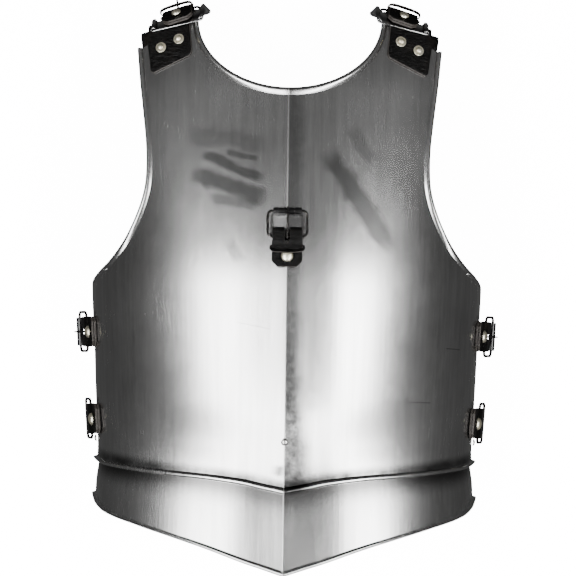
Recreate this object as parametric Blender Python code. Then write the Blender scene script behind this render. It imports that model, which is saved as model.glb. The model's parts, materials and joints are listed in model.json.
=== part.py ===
"""Steel cuirass breastplate with its waist lame, shoulder pieces and strap buckles.

The cuirass lies on its open back. +X runs across the chest, +Y to the neck and +Z out of
the chest. The side edges of the plate stand on Z = 0. Sizes are in metres.
"""
import math

import bmesh
import bpy
import numpy as np
from mathutils import Matrix, Vector

# Breastplate
PLATE_WIDTH = 0.377
PLATE_HEIGHT = 0.4545
CHEST_DEPTH = 0.172
STEEL = 0.0016
ARMPIT_HEIGHT = 0.1955
NECK_WIDTH = 0.1750
NECK_DROP = 0.0655
SHOULDER_DROP = 0.0288
WAIST_RISE = 0.0302
NECK_LIP = 0.0068
ARM_LIP = 0.0060
WAIST_LIP = 0.0066
LIP_RISE = 0.0036
LIP_CURVE = 1.6
ARM_LIP_NARROWING = 0.6
ARM_LIP_FADE_START = 0.55
ARM_LIP_FADE_END = 0.80
ARMPIT_MARGIN = 0.0160
KEEL_SHARPNESS = 1.30
SIDE_FULLNESS = 3.20
RIM = 0.0040

# Waist lame
LAME_DROP = 0.0786
LAME_RISE = 0.0750
LAME_LIP = 0.0055
LAME_TOP_FRONT = 0.0615
LAME_TOP_SIDE = 0.0340

# Gaps between pieces that touch on the real thing
GAP = 0.0003
LINED_GAP = 0.0006
LAME_GAP = 0.0009

# Roller buckle and its folded leather
STRAP_WIDTH = 0.0288
STRAP_THICK = 0.0022
STRAP_END = 0.0098
STRAP_CORNER = 0.0050
FOLD_REACH = 0.0286
BAR_REACH = 0.0190
FRAME_WIDTH = 0.0403
FRAME_LENGTH = 0.0275
FRAME_CORNER = 0.0060
WIRE = 0.0026
ROLLER_DIAMETER = 0.0066
ROLLER_LENGTH = 0.0272
TONGUE_WIRE = 0.0021
TONGUE_LENGTH = 0.0288
SLOT_WIDTH = 0.0050
SLOT_BACK = 0.0072
KEEPER_WIDTH = 0.0346
KEEPER_THICK = 0.0013
KEEPER_BAND = 0.0030
KEEPER_REACH = 0.0098
KEEPER_HEIGHT = 0.0115
KEEPER_SAG = 0.0060
KEEPER_REST = 0.0022
FOLD_LANDING = 0.0055

# Rivets and washers
SHANK = 0.0030
BUCKLE_RIVET_HEAD = 0.0118
TAB_RIVET_HEAD = 0.0062
PLATE_RIVET_HEAD = 0.0068
BEND_SEAT = 0.0010
RIVET_DOME = 0.34
RIVET_BACK = 0.0064
RIVET_BACK_RISE = 0.0013
DRILL_DEPTH = 0.0064
WASHER_DIAMETER = 0.0104
WASHER_THICK = 0.0009

# Shoulder leathers and steel shoulder lames
TAB_THICK = 0.0025
TAB_WIDTH = 0.0395
TAB_SHIFT = -0.0005
TAB_REACH = 0.0300
TAB_TAPER = 0.03
LINER_WIDTH = 0.0430
LINER_SHIFT = 0.0048
LINER_REACH = 0.0190
SHOULDER_TWIST = 0.0088
HINGE_BEND = 0.0070
LAME_BEND = 0.0140
STUB_LENGTH = 0.0300
SHOULDER_INWARD = 0.17
LAME_MARGIN = 0.0032
LAME_SHIFT = -0.0091
SHOULDER_LAME_STEEL = 0.0012
ROLLED_EDGE = 0.0050
TAB_RIVET_SPACING = 0.0168
TAB_RIVET_SHIFT = -0.0024
TAB_RIVET_SETBACK = 0.0112

# Places of the fittings, as heights above the waist point
CENTRE_BUCKLE_HEIGHT = 0.2268
SIDE_BUCKLE_HEIGHT = 0.1530
SIDE_TAB_HEIGHT = 0.0690
FRONT_RIVET_HEIGHT = 0.0504
SIDE_RIVET_HEIGHT = 0.0200
SIDE_FITTING_DEPTH = 0.0500

# Angles in degrees
LAME_FRONT_ANGLE = 45.0
BUCKLE_RIVET_ANGLE = 58.0
STUB_ANGLE = 98.0
SIDE_BUCKLE_LIFT = 8.5
RAISED_TONGUE = 45.0

# Mesh density
COLUMNS = 12
TURN_WEIGHT = 0.6
NECK_ROWS = 7
CHEST_ROWS = 9
BELLY_ROWS = 8
LAME_ROWS = 5
LIP_STEPS = 2
RIVET_SIDES = 8
RING_SIDES = 10

# Height share of the plate, ridge depth share, half width share
SECTIONS = [
    (-0.20, 0.905, 0.984),
    (-0.10, 0.872, 0.980),
    (-0.03, 0.848, 0.970),
    (0.02, 0.842, 0.961),
    (0.08, 0.880, 0.966),
    (0.18, 0.962, 0.976),
    (0.30, 1.000, 0.985),
    (0.43, 0.985, 1.000),
    (0.55, 0.935, 1.000),
    (0.70, 0.842, 1.000),
    (0.855, 0.706, 1.000),
    (0.93, 0.620, 1.000),
    (1.02, 0.500, 1.000),
]
# Share of the armhole's height above the armpit, share of the girth from ridge to side edge
ARMHOLE = [
    (0.000, 1.000),
    (0.012, 0.930),
    (0.036, 0.840),
    (0.064, 0.765),
    (0.104, 0.688),
    (0.167, 0.622),
    (0.242, 0.573),
    (0.338, 0.532),
    (0.420, 0.511),
    (0.500, 0.505),
    (0.600, 0.508),
    (0.733, 0.522),
    (0.867, 0.538),
    (1.000, 0.551),
]
# Share of the half width, share of the waist edge's rise, share of the lame edge's rise
EDGE_RISES = [
    (0.00, 0.000, 0.000),
    (0.13, 0.160, 0.105),
    (0.21, 0.270, 0.168),
    (0.41, 0.430, 0.345),
    (0.58, 0.520, 0.478),
    (0.77, 0.640, 0.625),
    (0.93, 0.790, 0.765),
    (0.98, 0.900, 0.875),
    (1.00, 1.000, 1.000),
]

# Half of the keeper's loop: share of its half width, share of its rise
KEEPER_SHAPE = [
    (0.00, 0.00),
    (0.87, 0.00),
    (0.98, 0.16),
    (1.00, 0.45),
    (0.94, 0.78),
    (0.70, 0.95),
    (0.35, 1.00),
    (0.00, 1.00),
]

# Finish: base colour, metallic, roughness
FINISHES = {
    "steel": ((0.46, 0.46, 0.46), 1.0, 0.30),
    "nickel": ((0.66, 0.62, 0.52), 1.0, 0.25),
    "dark wire": ((0.20, 0.19, 0.18), 1.0, 0.28),
    "black roller": ((0.03, 0.03, 0.03), 0.6, 0.35),
    "leather": ((0.016, 0.014, 0.013), 0.0, 0.42),
}

ROOT = "cuirass"


def curve_at(rows, column, place):
    """Value of one column of a table at a place, on a smooth curve through its rows."""
    xs = [row[0] for row in rows]
    ys = [row[column] for row in rows]
    last = len(xs) - 2
    i = min(max(int(np.searchsorted(xs, place)) - 1, 0), last)
    slopes = []
    for k in (i, i + 1):
        a, b = max(k - 1, 0), min(k + 1, len(xs) - 1)
        slopes.append((ys[b] - ys[a]) / (xs[b] - xs[a]))
    width = xs[i + 1] - xs[i]
    t = min(max((place - xs[i]) / width, 0.0), 1.0)
    start = (1 + 2 * t) * (1 - t) ** 2 * ys[i] + t * (1 - t) ** 2 * width * slopes[0]
    end = t * t * (3 - 2 * t) * ys[i + 1] + t * t * (t - 1) * width * slopes[1]
    return start + end


# The cross section: angle of each girth share, at even steps along the curve
ANGLES = np.linspace(0.0, math.pi / 2, 600)
ACROSS = np.sin(ANGLES) ** (2 / KEEL_SHARPNESS) * PLATE_WIDTH / 2
HEIGHTS = np.abs(np.cos(ANGLES)) ** (2 / SIDE_FULLNESS) * CHEST_DEPTH
LENGTHS = np.concatenate(([0.0], np.cumsum(np.hypot(np.diff(ACROSS), np.diff(HEIGHTS)))))
GIRTH = float(LENGTHS[-1])
GIRTHS = LENGTHS / GIRTH
ARMPIT = ARMPIT_HEIGHT / PLATE_HEIGHT
# Columns of the mesh stand closer where the section turns, so that its facets lie near the curve
TURNS = np.unwrap(np.arctan2(np.gradient(HEIGHTS), np.gradient(ACROSS)))
TURN_SHARE = (TURNS[1] - TURNS) / (TURNS[1] - TURNS[-1])
SPREAD = np.maximum.accumulate((1 - TURN_WEIGHT) * GIRTHS + TURN_WEIGHT * TURN_SHARE)
SPREAD = (SPREAD - SPREAD[0]) / (SPREAD[-1] - SPREAD[0]) + np.linspace(0.0, 1e-6, len(SPREAD))


def columns_between(start, end):
    """Girth shares of the columns of a row of the mesh."""
    a, b = np.interp((start, end), GIRTHS, SPREAD)
    return np.interp(np.linspace(a, b, COLUMNS + 1), SPREAD, GIRTHS)


def across_share(girth):
    angle = float(np.interp(girth, GIRTHS, ANGLES))
    return math.sin(angle) ** (2 / KEEL_SHARPNESS)


def girth_of(distance, height):
    """Girth share of a point that lies at a distance from the ridge, seen from the front."""
    share = min(abs(distance) / (curve_at(SECTIONS, 2, height) * PLATE_WIDTH / 2), 1.0)
    angle = math.asin(share ** (KEEL_SHARPNESS / 2))
    return float(np.interp(angle, ANGLES, GIRTHS))


def row_rise(girth, height):
    """How far a row of the plate bends up beside the ridge, to follow the waist edge."""
    across = across_share(girth)
    waist = WAIST_RISE * curve_at(EDGE_RISES, 1, across)
    if height >= 0:
        return waist * max(1 - height / ARMPIT, 0.0)
    hem = LAME_RISE * curve_at(EDGE_RISES, 2, across)
    return waist + (hem - waist) * min(-height * PLATE_HEIGHT / LAME_DROP, 1.0)


def skin(girth, height):
    """Point of the outer surface. Girth runs from 0 on the ridge to 1 on the side edge."""
    angle = float(np.interp(girth, GIRTHS, ANGLES))
    x = curve_at(SECTIONS, 2, height) * PLATE_WIDTH / 2 * across_share(girth)
    z = curve_at(SECTIONS, 1, height) * CHEST_DEPTH * abs(math.cos(angle)) ** (2 / SIDE_FULLNESS)
    return Vector((x, height * PLATE_HEIGHT + row_rise(girth, height), z + RIM))


def skin_normal(girth, height):
    step = 2e-3
    out = skin(min(girth + step, 1.0), height) - skin(max(girth - step, 0.0), height)
    up = skin(girth, height + step) - skin(girth, height - step)
    normal = out.cross(up)
    if girth < step:
        normal.x = 0.0
    if girth >= 1:
        normal.z = 0.0
    return normal.normalized()


def raised(girth, height, lift):
    return skin(girth, height) + skin_normal(girth, height) * lift


def height_at(girth, y):
    """Height share of a point of the surface whose Y is given."""
    low, high = -0.25, 1.05
    for _ in range(40):
        middle = (low + high) / 2
        if skin(girth, middle).y < y:
            low = middle
        else:
            high = middle
    return (low + high) / 2


def flat_pattern(distance, y):
    """A place seen from the front, as lengths along the girth and up the plate."""
    height = y / PLATE_HEIGHT
    return np.array((girth_of(distance, height) * GIRTH, y))


def evenly(points, count):
    """Points at even steps along a line of many points."""
    points = np.array(points)
    steps = np.hypot(*np.diff(points, axis=0).T)
    length = np.concatenate(([0.0], np.cumsum(steps)))
    places = np.linspace(0.0, length[-1], count + 1)
    return np.column_stack([np.interp(places, length, points[:, k]) for k in (0, 1)])


def inset(points, widths, side):
    """The line that runs beside another one, at the given widths."""
    ahead = np.gradient(points, axis=0)
    ahead /= np.linalg.norm(ahead, axis=1)[:, None]
    beside = np.column_stack((-ahead[:, 1], ahead[:, 0])) * side
    return points + beside * np.array(widths)[:, None]


# Making objects
def finish(obj, name, kind):
    colour, metallic, roughness = FINISHES[kind]
    material = bpy.data.materials.new(name + "_finish")
    material.use_nodes = True
    shader = material.node_tree.nodes["Principled BSDF"]
    shader.inputs["Base Color"].default_value = (*colour, 1.0)
    shader.inputs["Metallic"].default_value = metallic
    shader.inputs["Roughness"].default_value = roughness
    obj.data.materials.append(material)
    obj.parent = bpy.data.objects[ROOT]
    return obj


def add_object(name, data):
    obj = bpy.data.objects.new(name, data)
    bpy.context.scene.collection.objects.link(obj)
    return obj


def mesh_object(name, bm, smooth=True):
    mesh = bpy.data.meshes.new(name)
    bm.to_mesh(mesh)
    bm.free()
    if smooth:
        mesh.shade_smooth()
        mesh.set_sharp_from_angle(angle=math.radians(35))
    return add_object(name, mesh)


def loft(name, rings, kind, closed=False):
    """A solid through a row of rings with the same number of points."""
    bm = bmesh.new()
    loops = [[bm.verts.new(p) for p in ring] for ring in rings]
    pairs = list(zip(loops, loops[1:]))
    if closed:
        pairs.append((loops[-1], loops[0]))
    for a, b in pairs:
        for i in range(len(a)):
            j = (i + 1) % len(a)
            bm.faces.new((a[i], a[j], b[j], b[i]))
    if not closed:
        bm.faces.new(loops[0])
        bm.faces.new(loops[-1])
    bmesh.ops.recalc_face_normals(bm, faces=bm.faces)
    return finish(mesh_object(name, bm), name, kind)


def lathe(name, profile, sides, place, kind=None, closed=False):
    """A turned solid. The profile lists radius and height. A closed one makes a ring."""
    bm = bmesh.new()
    points = [bm.verts.new((r, 0.0, z)) for r, z in profile]
    edges = [bm.edges.new(pair) for pair in zip(points, points[1:])]
    if closed:
        edges.append(bm.edges.new((points[-1], points[0])))
    turn = {"cent": (0, 0, 0), "axis": (0, 0, 1), "angle": 2 * math.pi, "steps": sides}
    bmesh.ops.spin(bm, geom=points + edges, use_merge=True, **turn)
    bmesh.ops.remove_doubles(bm, verts=bm.verts, dist=1e-6)
    bmesh.ops.recalc_face_normals(bm, faces=bm.faces)
    bmesh.ops.transform(bm, matrix=place, verts=bm.verts)
    obj = mesh_object(name, bm)
    return finish(obj, name, kind) if kind else obj


def wire(name, points, thickness, kind, closed=False):
    """A round wire bent through the given points."""
    data = bpy.data.curves.new(name, "CURVE")
    data.dimensions = "3D"
    data.bevel_depth = thickness / 2
    data.bevel_resolution = 1
    data.use_fill_caps = True
    line = data.splines.new("POLY")
    line.points.add(len(points) - 1)
    for point, place in zip(line.points, points):
        point.co = (*place, 1.0)
    line.use_cyclic_u = closed
    return finish(add_object(name, data), name, kind)


def cut(target, name, cutters):
    """Take the cutters, which keep clear of each other, away from a piece."""
    bm = bmesh.new()
    for cutter in cutters:
        bm.from_mesh(cutter.data)
        bpy.data.objects.remove(cutter)
    tool = mesh_object(name, bm, smooth=False)
    tool.hide_render = True
    tool.display_type = "WIRE"
    tool.parent = bpy.data.objects[ROOT]
    boolean = target.modifiers.new(name, "BOOLEAN")
    boolean.operation = "DIFFERENCE"
    boolean.solver = "EXACT"
    boolean.object = tool


def box_cutter(name, low, high, place):
    bm = bmesh.new()
    size = [b - a for a, b in zip(low, high)]
    middle = [(a + b) / 2 for a, b in zip(low, high)]
    at = place @ Matrix.Translation(middle) @ Matrix.Diagonal((*size, 1.0))
    bmesh.ops.create_cube(bm, size=1.0, matrix=at)
    return mesh_object(name, bm, smooth=False)


def drill(name, place, depth):
    """A cylinder for the shank of a rivet, along the local Z axis, to both sides."""
    radius = SHANK / 2 + GAP
    profile = [(0.0, depth), (radius, depth), (radius, -depth), (0.0, -depth)]
    return lathe(name, profile, RIVET_SIDES, place)


def frame_at(origin, x_axis, normal):
    """A placing matrix with its X axis near one direction and its Z axis on another."""
    z = normal.normalized()
    x = (x_axis - z * x_axis.dot(z)).normalized()
    y = z.cross(x)
    turn = Matrix((x, y, z)).transposed().to_4x4()
    return Matrix.Translation(origin) @ turn


def rivet(name, place, head, grip, kind="nickel"):
    """A domed rivet. Its head stands on the local XY plane, its shank goes down through
    the grip and is set over a flat back head."""
    top = head * RIVET_DOME
    low = -grip - LINED_GAP
    profile = [
        (0.0, top + GAP),
        (head * 0.34, top * 0.76 + GAP),
        (head * 0.50, GAP),
        (SHANK / 2, GAP),
        (SHANK / 2, low),
        (RIVET_BACK / 2, low),
        (RIVET_BACK / 2 * 0.7, low - RIVET_BACK_RISE * 0.85),
        (0.0, low - RIVET_BACK_RISE),
    ]
    return lathe(name, profile, RIVET_SIDES, place, kind)


# The two steel plates
def plate_faces(bm, grid):
    for upper, lower in zip(grid, grid[1:]):
        for i in range(len(upper) - 1):
            bm.faces.new((upper[i], lower[i], lower[i + 1], upper[i + 1]))


def stand_on_floor(bm, rim):
    """Carry the side edge straight down to Z = 0, so that it stands flat."""
    foot = [bm.verts.new((v.co.x, v.co.y, 0.0)) for v in rim]
    plate_faces(bm, [list(pair) for pair in zip(rim, foot)])


def steel_plate(name, bm):
    """Mirror the half plate and give it its wall."""
    obj = finish(mesh_object(name, bm), name, "steel")
    mirror = obj.modifiers.new("mirror", "MIRROR")
    mirror.merge_threshold = 1e-5
    wall = obj.modifiers.new("wall", "SOLIDIFY")
    wall.thickness = STEEL
    wall.offset = -1.0
    wall.use_even_offset = True
    return obj


def lip_widths(kind, count):
    """Width of a turned edge at each of its stations."""
    if kind == "neck":
        return [NECK_LIP] * count
    shares = np.interp(np.linspace(0.0, 1.0, count), (ARM_LIP_FADE_START, 1.0), (0.0, 1.0))
    return [ARM_LIP * (1 - ARM_LIP_NARROWING * share) for share in shares]


def build_breastplate():
    # Neck edge, from the shoulder to the middle, and the armhole edge, down to the rim
    neck = []
    for angle in np.linspace(math.pi / 2, 0.0, 80):
        distance = NECK_WIDTH / 2 * math.sin(angle)
        neck.append(flat_pattern(distance, PLATE_HEIGHT - NECK_DROP * math.cos(angle)))
    arm = []
    arm_top = PLATE_HEIGHT - SHOULDER_DROP
    for share in np.linspace(1.0, 0.0, 160):
        y = ARMPIT_HEIGHT + (arm_top - ARMPIT_HEIGHT) * share
        arm.append((curve_at(ARMHOLE, 1, share) * GIRTH, y))
    neck_edge = evenly(neck, NECK_ROWS)
    arm_edge = evenly(arm, NECK_ROWS + CHEST_ROWS)
    neck_fold = inset(neck_edge, lip_widths("neck", len(neck_edge)), 1)
    arm_fold = inset(arm_edge, lip_widths("arm", len(arm_edge)), -1)
    neck_fold[-1][0] = 0.0
    arm_fold[-1][0] = GIRTH
    ridge_low = ARMPIT_HEIGHT + ARMPIT_MARGIN
    ridge = np.linspace(neck_fold[-1][1], ridge_low, CHEST_ROWS + 1)[1:]
    inner = [tuple(p) for p in neck_fold] + [(0.0, y) for y in ridge]

    bm = bmesh.new()

    def vertex(girth, height, lift=0.0):
        return bm.verts.new(raised(min(max(girth, 0.0), 1.0), height, lift))

    # Chest rows fan from the neck and the ridge out to the armhole
    places = []
    for (g0, y0), (g1, y1) in zip(inner, arm_fold):
        girths = columns_between(g0 / GIRTH, g1 / GIRTH)
        heights = np.interp(girths, (g0 / GIRTH, g1 / GIRTH), (y0, y1)) / PLATE_HEIGHT
        places.append(list(zip(girths, heights)))
    # Belly rows blend down to the fold of the waist edge
    armpit_row = places[-1]
    for k in range(1, BELLY_ROWS + 1):
        row = []
        for girth, height in armpit_row:
            low = WAIST_LIP * (1 - 0.5 * girth) / PLATE_HEIGHT
            row.append((girth, height + (low - height) * k / BELLY_ROWS))
        places.append(row)
    grid = [[vertex(*place) for place in row] for row in places]

    # Turned neck edge, beside the fold of each neck row
    for k, (edge, fold) in enumerate(zip(neck_edge, neck_fold)):
        strip = []
        for step in range(LIP_STEPS, 0, -1):
            share = step / LIP_STEPS
            girth, y = fold + (edge - fold) * share
            strip.append(vertex(girth / GIRTH, y / PLATE_HEIGHT, LIP_RISE * share ** LIP_CURVE))
        grid[k] = strip + grid[k]
    # Turned armhole edge, which fades into the plate near the armpit
    rim_top = []
    count = len(arm_edge)
    for k, (edge, fold) in enumerate(zip(arm_edge, arm_fold)):
        place = k / (count - 1)
        fade = float(np.interp(place, (ARM_LIP_FADE_START, ARM_LIP_FADE_END), (1.0, 0.0)))
        strip = []
        for step in range(1, LIP_STEPS + 1):
            share = step / LIP_STEPS
            girth, y = fold + (edge - fold) * share
            girth = GIRTH if k == count - 1 else girth
            strip.append(vertex(girth / GIRTH, y / PLATE_HEIGHT, LIP_RISE * fade * share ** LIP_CURVE))
        grid[k] = grid[k] + strip
        rim_top = strip
    # Turned waist edge
    for step in range(1, LIP_STEPS + 1):
        share = step / LIP_STEPS
        row = []
        for girth, height in places[-1]:
            row.append(vertex(girth, height * (1 - share), LIP_RISE * share ** LIP_CURVE))
        grid.append(row)

    # Neck rows carry the neck strip, the last of them ends on the ridge
    neck_part = grid[:NECK_ROWS + 1]
    plate_faces(bm, neck_part)
    chest_part = [grid[NECK_ROWS][LIP_STEPS:]] + grid[NECK_ROWS + 1:count]
    plate_faces(bm, chest_part)
    belly_part = [grid[count - 1][:COLUMNS + 1]] + grid[count:]
    plate_faces(bm, belly_part)
    stand_on_floor(bm, rim_top[::-1] + [row[-1] for row in belly_part])
    return steel_plate("breastplate", bm)


def build_waist_lame():
    sunk = -(STEEL + LAME_GAP)
    bm = bmesh.new()
    low = -LAME_DROP / PLATE_HEIGHT
    girths = columns_between(0.0, 1.0)
    grid = []
    for k in range(LAME_ROWS + 1):
        row = []
        for girth in girths:
            top = (LAME_TOP_FRONT + (LAME_TOP_SIDE - LAME_TOP_FRONT) * girth) / PLATE_HEIGHT
            fold = low + LAME_LIP / PLATE_HEIGHT
            row.append(bm.verts.new(raised(girth, top + (fold - top) * k / LAME_ROWS, sunk)))
        grid.append(row)
    for step in range(1, LIP_STEPS + 1):
        share = step / LIP_STEPS
        height = low + LAME_LIP / PLATE_HEIGHT * (1 - share)
        lift = sunk + LIP_RISE * share ** LIP_CURVE
        grid.append([bm.verts.new(raised(girth, height, lift)) for girth in girths])
    plate_faces(bm, grid)
    stand_on_floor(bm, [row[-1] for row in grid])
    return steel_plate("waist_lame", bm)


# The buckle, in its own frame: X across the strap, Y from the rivet to the roller and
# Z away from the plate, with the plate's surface at Z = 0
LOW_LAYER = GAP + STRAP_THICK
BAR_HEIGHT = LOW_LAYER + GAP + WIRE / 2
FOLD_INSIDE = WIRE / 2 + GAP
ROLLER_REACH = BAR_REACH + FRAME_LENGTH - WIRE
FRAME_MIDDLE = BAR_REACH + (FRAME_LENGTH - WIRE) / 2


def bent(place, bend_at, angle):
    """Placing matrix of the buckle beyond the bend of its leather."""
    turn = Matrix.Rotation(angle, 4, "X")
    there = Matrix.Translation((0, bend_at, 0))
    return place @ there @ turn @ there.inverted()


def strap_line(bend_at, angle, with_keeper):
    """Middle line of the folded leather, from its lower end round the bar to its upper end."""
    half = STRAP_THICK / 2
    fold_at = FOLD_REACH - FOLD_INSIDE - STRAP_THICK
    lower = [(-STRAP_END, GAP + half), (bend_at, GAP + half)]
    round_bar = []
    for degrees in np.linspace(-90.0, 90.0, 5):
        a = math.radians(degrees)
        radius = FOLD_INSIDE + half
        round_bar.append((fold_at + radius * math.cos(a), BAR_HEIGHT + radius * math.sin(a)))
    top = BAR_HEIGHT + FOLD_INSIDE + half
    held = LOW_LAYER + GAP + half
    kept = LOW_LAYER + 2 * GAP + KEEPER_THICK + half
    beyond = [(BAR_REACH - FOLD_LANDING, top)]
    if with_keeper:
        beyond += [(KEEPER_REACH + KEEPER_REST, kept), (KEEPER_REACH - KEEPER_REST, kept)]
    else:
        beyond += [(KEEPER_REACH, held)]
    upper = [(BUCKLE_RIVET_HEAD / 2 + GAP, held), (-STRAP_END, held)]
    line = lower[:]
    for y, z in round_bar + beyond:
        away = Vector((y - bend_at, z))
        y = bend_at + away.x * math.cos(angle) - away.y * math.sin(angle)
        z = away.x * math.sin(angle) + away.y * math.cos(angle)
        line.append((y, z))
    return line + upper


def ribbon_outline(line, thickness):
    """Two offset lines of a flat line, as one closed outline."""
    points = np.array(line)
    steps = np.diff(points, axis=0)
    steps /= np.linalg.norm(steps, axis=1)[:, None]
    sides = []
    for k in range(len(points)):
        a = steps[max(k - 1, 0)]
        b = steps[min(k, len(steps) - 1)]
        middle = (a + b) / np.linalg.norm(a + b)
        spread = 1 / max(float(middle @ b), 0.5)
        sides.append(np.array((-middle[1], middle[0])) * spread * thickness / 2)
    sides = np.array(sides)
    return points + sides, points - sides


def build_chape(name, place, bend_at, angle, with_keeper, with_slot):
    """The leather folded round the buckle's bar, slit for the tongue."""
    left, right = ribbon_outline(strap_line(bend_at, angle, with_keeper), STRAP_THICK)
    bm = bmesh.new()
    half = STRAP_WIDTH / 2
    sheets = []
    for x in (-half, half):
        a = [bm.verts.new((x, y, z)) for y, z in left]
        b = [bm.verts.new((x, y, z)) for y, z in right]
        sheets.append((a, b))
    (a0, b0), (a1, b1) = sheets
    for i in range(len(a0) - 1):
        bm.faces.new((a0[i], a0[i + 1], b0[i + 1], b0[i]))
        bm.faces.new((a1[i], b1[i], b1[i + 1], a1[i + 1]))
        bm.faces.new((a0[i], a1[i], a1[i + 1], a0[i + 1]))
        bm.faces.new((b0[i], b0[i + 1], b1[i + 1], b1[i]))
    bm.faces.new((a0[0], b0[0], b1[0], a1[0]))
    bm.faces.new((a0[-1], a1[-1], b1[-1], b0[-1]))
    bmesh.ops.recalc_face_normals(bm, faces=bm.faces)
    corners = []
    for a, b in sheets:
        for end in (0, -1):
            corners.append(bm.edges.get((a[end], b[end])))
    bmesh.ops.bevel(bm, geom=corners, offset=STRAP_CORNER, segments=1, affect="EDGES")
    bmesh.ops.transform(bm, matrix=place, verts=bm.verts)
    obj = finish(mesh_object(name, bm), name, "leather")
    cutters = [drill("shank", place, LOW_LAYER * 3)]
    if with_slot:
        low = (-SLOT_WIDTH / 2, BAR_REACH - SLOT_BACK, -FOLD_REACH)
        high = (SLOT_WIDTH / 2, FOLD_REACH * 2, FOLD_REACH)
        cutters.append(box_cutter("slot", low, high, bent(place, bend_at, angle)))
    cut(obj, name + "_cut", cutters)
    return obj


def build_keeper(name, place):
    """The thin leather loop that takes the strap's end, between the layers and over them."""
    low = LOW_LAYER + GAP + KEEPER_THICK / 2
    half = (KEEPER_WIDTH - KEEPER_THICK) / 2
    rise = KEEPER_HEIGHT - low
    centres = []
    for side, rows in ((1, KEEPER_SHAPE), (-1, KEEPER_SHAPE[-2:0:-1])):
        for across, up in rows:
            centres.append(Vector((side * half * across, 0, rise * up)))
    rings = []
    for k, centre in enumerate(centres):
        ahead = centres[(k + 1) % len(centres)] - centres[k - 1]
        out = Vector((ahead.z, 0, -ahead.x)).normalized() * KEEPER_THICK / 2
        seat = Vector((0, KEEPER_REACH - KEEPER_SAG * centre.z / rise, low))
        band = Vector((0, KEEPER_BAND / 2, 0))
        ring = [out + band, out - band, -out - band, -out + band]
        rings.append([place @ (seat + centre + p) for p in ring])
    return loft(name, rings, "leather", closed=True)


def build_frame(name, place, kind="dark wire"):
    half = (FRAME_WIDTH - WIRE) / 2
    length = (FRAME_LENGTH - WIRE) / 2
    bend = FRAME_CORNER - WIRE / 2
    points = []
    for x, y, start in ((1, 1, 0), (-1, 1, 90), (-1, -1, 180), (1, -1, 270)):
        for degrees in (0, 45, 90):
            a = math.radians(start + degrees)
            px = x * (half - bend) + bend * math.cos(a)
            py = FRAME_MIDDLE + y * (length - bend) + bend * math.sin(a)
            points.append(place @ Vector((px, py, BAR_HEIGHT)))
    return wire(name, points, WIRE, kind, closed=True)


def build_roller(name, place):
    hole = WIRE / 2 + GAP
    outer = ROLLER_DIAMETER / 2
    half = ROLLER_LENGTH / 2
    profile = [(hole, half), (outer, half), (outer, -half), (hole, -half)]
    turn = Matrix.Rotation(math.pi / 2, 4, "Y")
    at = place @ Matrix.Translation((0, ROLLER_REACH, BAR_HEIGHT)) @ turn
    return lathe(name, profile, RING_SIDES, at, "black roller", closed=True)


def build_tongue(name, place, raise_angle):
    """A wire hooked round the bar, which lies on the roller or stands up from it."""
    hook = WIRE / 2 + GAP + TONGUE_WIRE / 2
    rest = ROLLER_DIAMETER / 2 + GAP + TONGUE_WIRE / 2
    slope = math.asin((rest - hook) / (ROLLER_REACH - BAR_REACH))
    lean = slope + raise_angle
    bar = Vector((0, BAR_REACH, BAR_HEIGHT))
    points = []
    for degrees in np.linspace(255.0, 0.0, 7):
        a = lean + math.radians(90 + degrees)
        points.append(bar + Vector((0, hook * math.cos(a), hook * math.sin(a))))
    along = Vector((0, math.cos(lean), math.sin(lean)))
    points.append(points[-1] + along * TONGUE_LENGTH)
    return wire(name, [place @ p for p in points], TONGUE_WIRE, "dark wire")


def build_buckle(prefix, place, bend_at, angle, grip, with_keeper, raise_angle=0.0):
    """A roller buckle with its leather and rivet, on the plate at the placing matrix."""
    far = bent(place, bend_at, angle)
    build_chape(prefix + "_chape", place, bend_at, angle, with_keeper, True)
    if with_keeper:
        build_keeper(prefix + "_keeper", far)
    build_frame(prefix + "_frame", far)
    build_roller(prefix + "_roller", far)
    build_tongue(prefix + "_tongue", far, raise_angle)
    stack = 2 * STRAP_THICK + 2 * GAP
    above = place @ Matrix.Translation((0, 0, stack))
    rivet(prefix + "_rivet", above, BUCKLE_RIVET_HEAD, stack + grip)


# Shoulders, from the neck's corner of the plate to the armhole's
NECK_CORNER = NECK_WIDTH / 2
ARM_CORNER = across_share(ARMHOLE[-1][1]) * PLATE_WIDTH / 2
SHOULDER_MIDDLE = (NECK_CORNER + ARM_CORNER) / 2
TAB_MIDDLE = SHOULDER_MIDDLE + TAB_SHIFT
TWIST_REACH = TAB_MIDDLE + TAB_WIDTH / 2 - NECK_CORNER
LINER_MIDDLE = SHOULDER_MIDDLE + LINER_SHIFT
BUCKLE_OFFSET = SHOULDER_MIDDLE + LAME_SHIFT
# The lame is as wide as the buckle that lies on it, with a margin for its rolled edges
SHOULDER_LAME_WIDTH = FRAME_WIDTH + 2 * LAME_MARGIN
SHOULDER_LAME_INNER = BUCKLE_OFFSET - SHOULDER_LAME_WIDTH / 2
SHOULDER_LAME_OUTER = BUCKLE_OFFSET + SHOULDER_LAME_WIDTH / 2


def shoulder_edge(distance):
    """Girth and height shares of a point of the plate's slanted top edge."""
    share = (distance - NECK_CORNER) / (ARM_CORNER - NECK_CORNER)
    height = (PLATE_HEIGHT - SHOULDER_DROP * share) / PLATE_HEIGHT
    return girth_of(distance, height), height


def edge_angle():
    girth, height = shoulder_edge(TAB_MIDDLE)
    normal = skin_normal(girth, height)
    return math.atan2(normal.y, normal.z)


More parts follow.
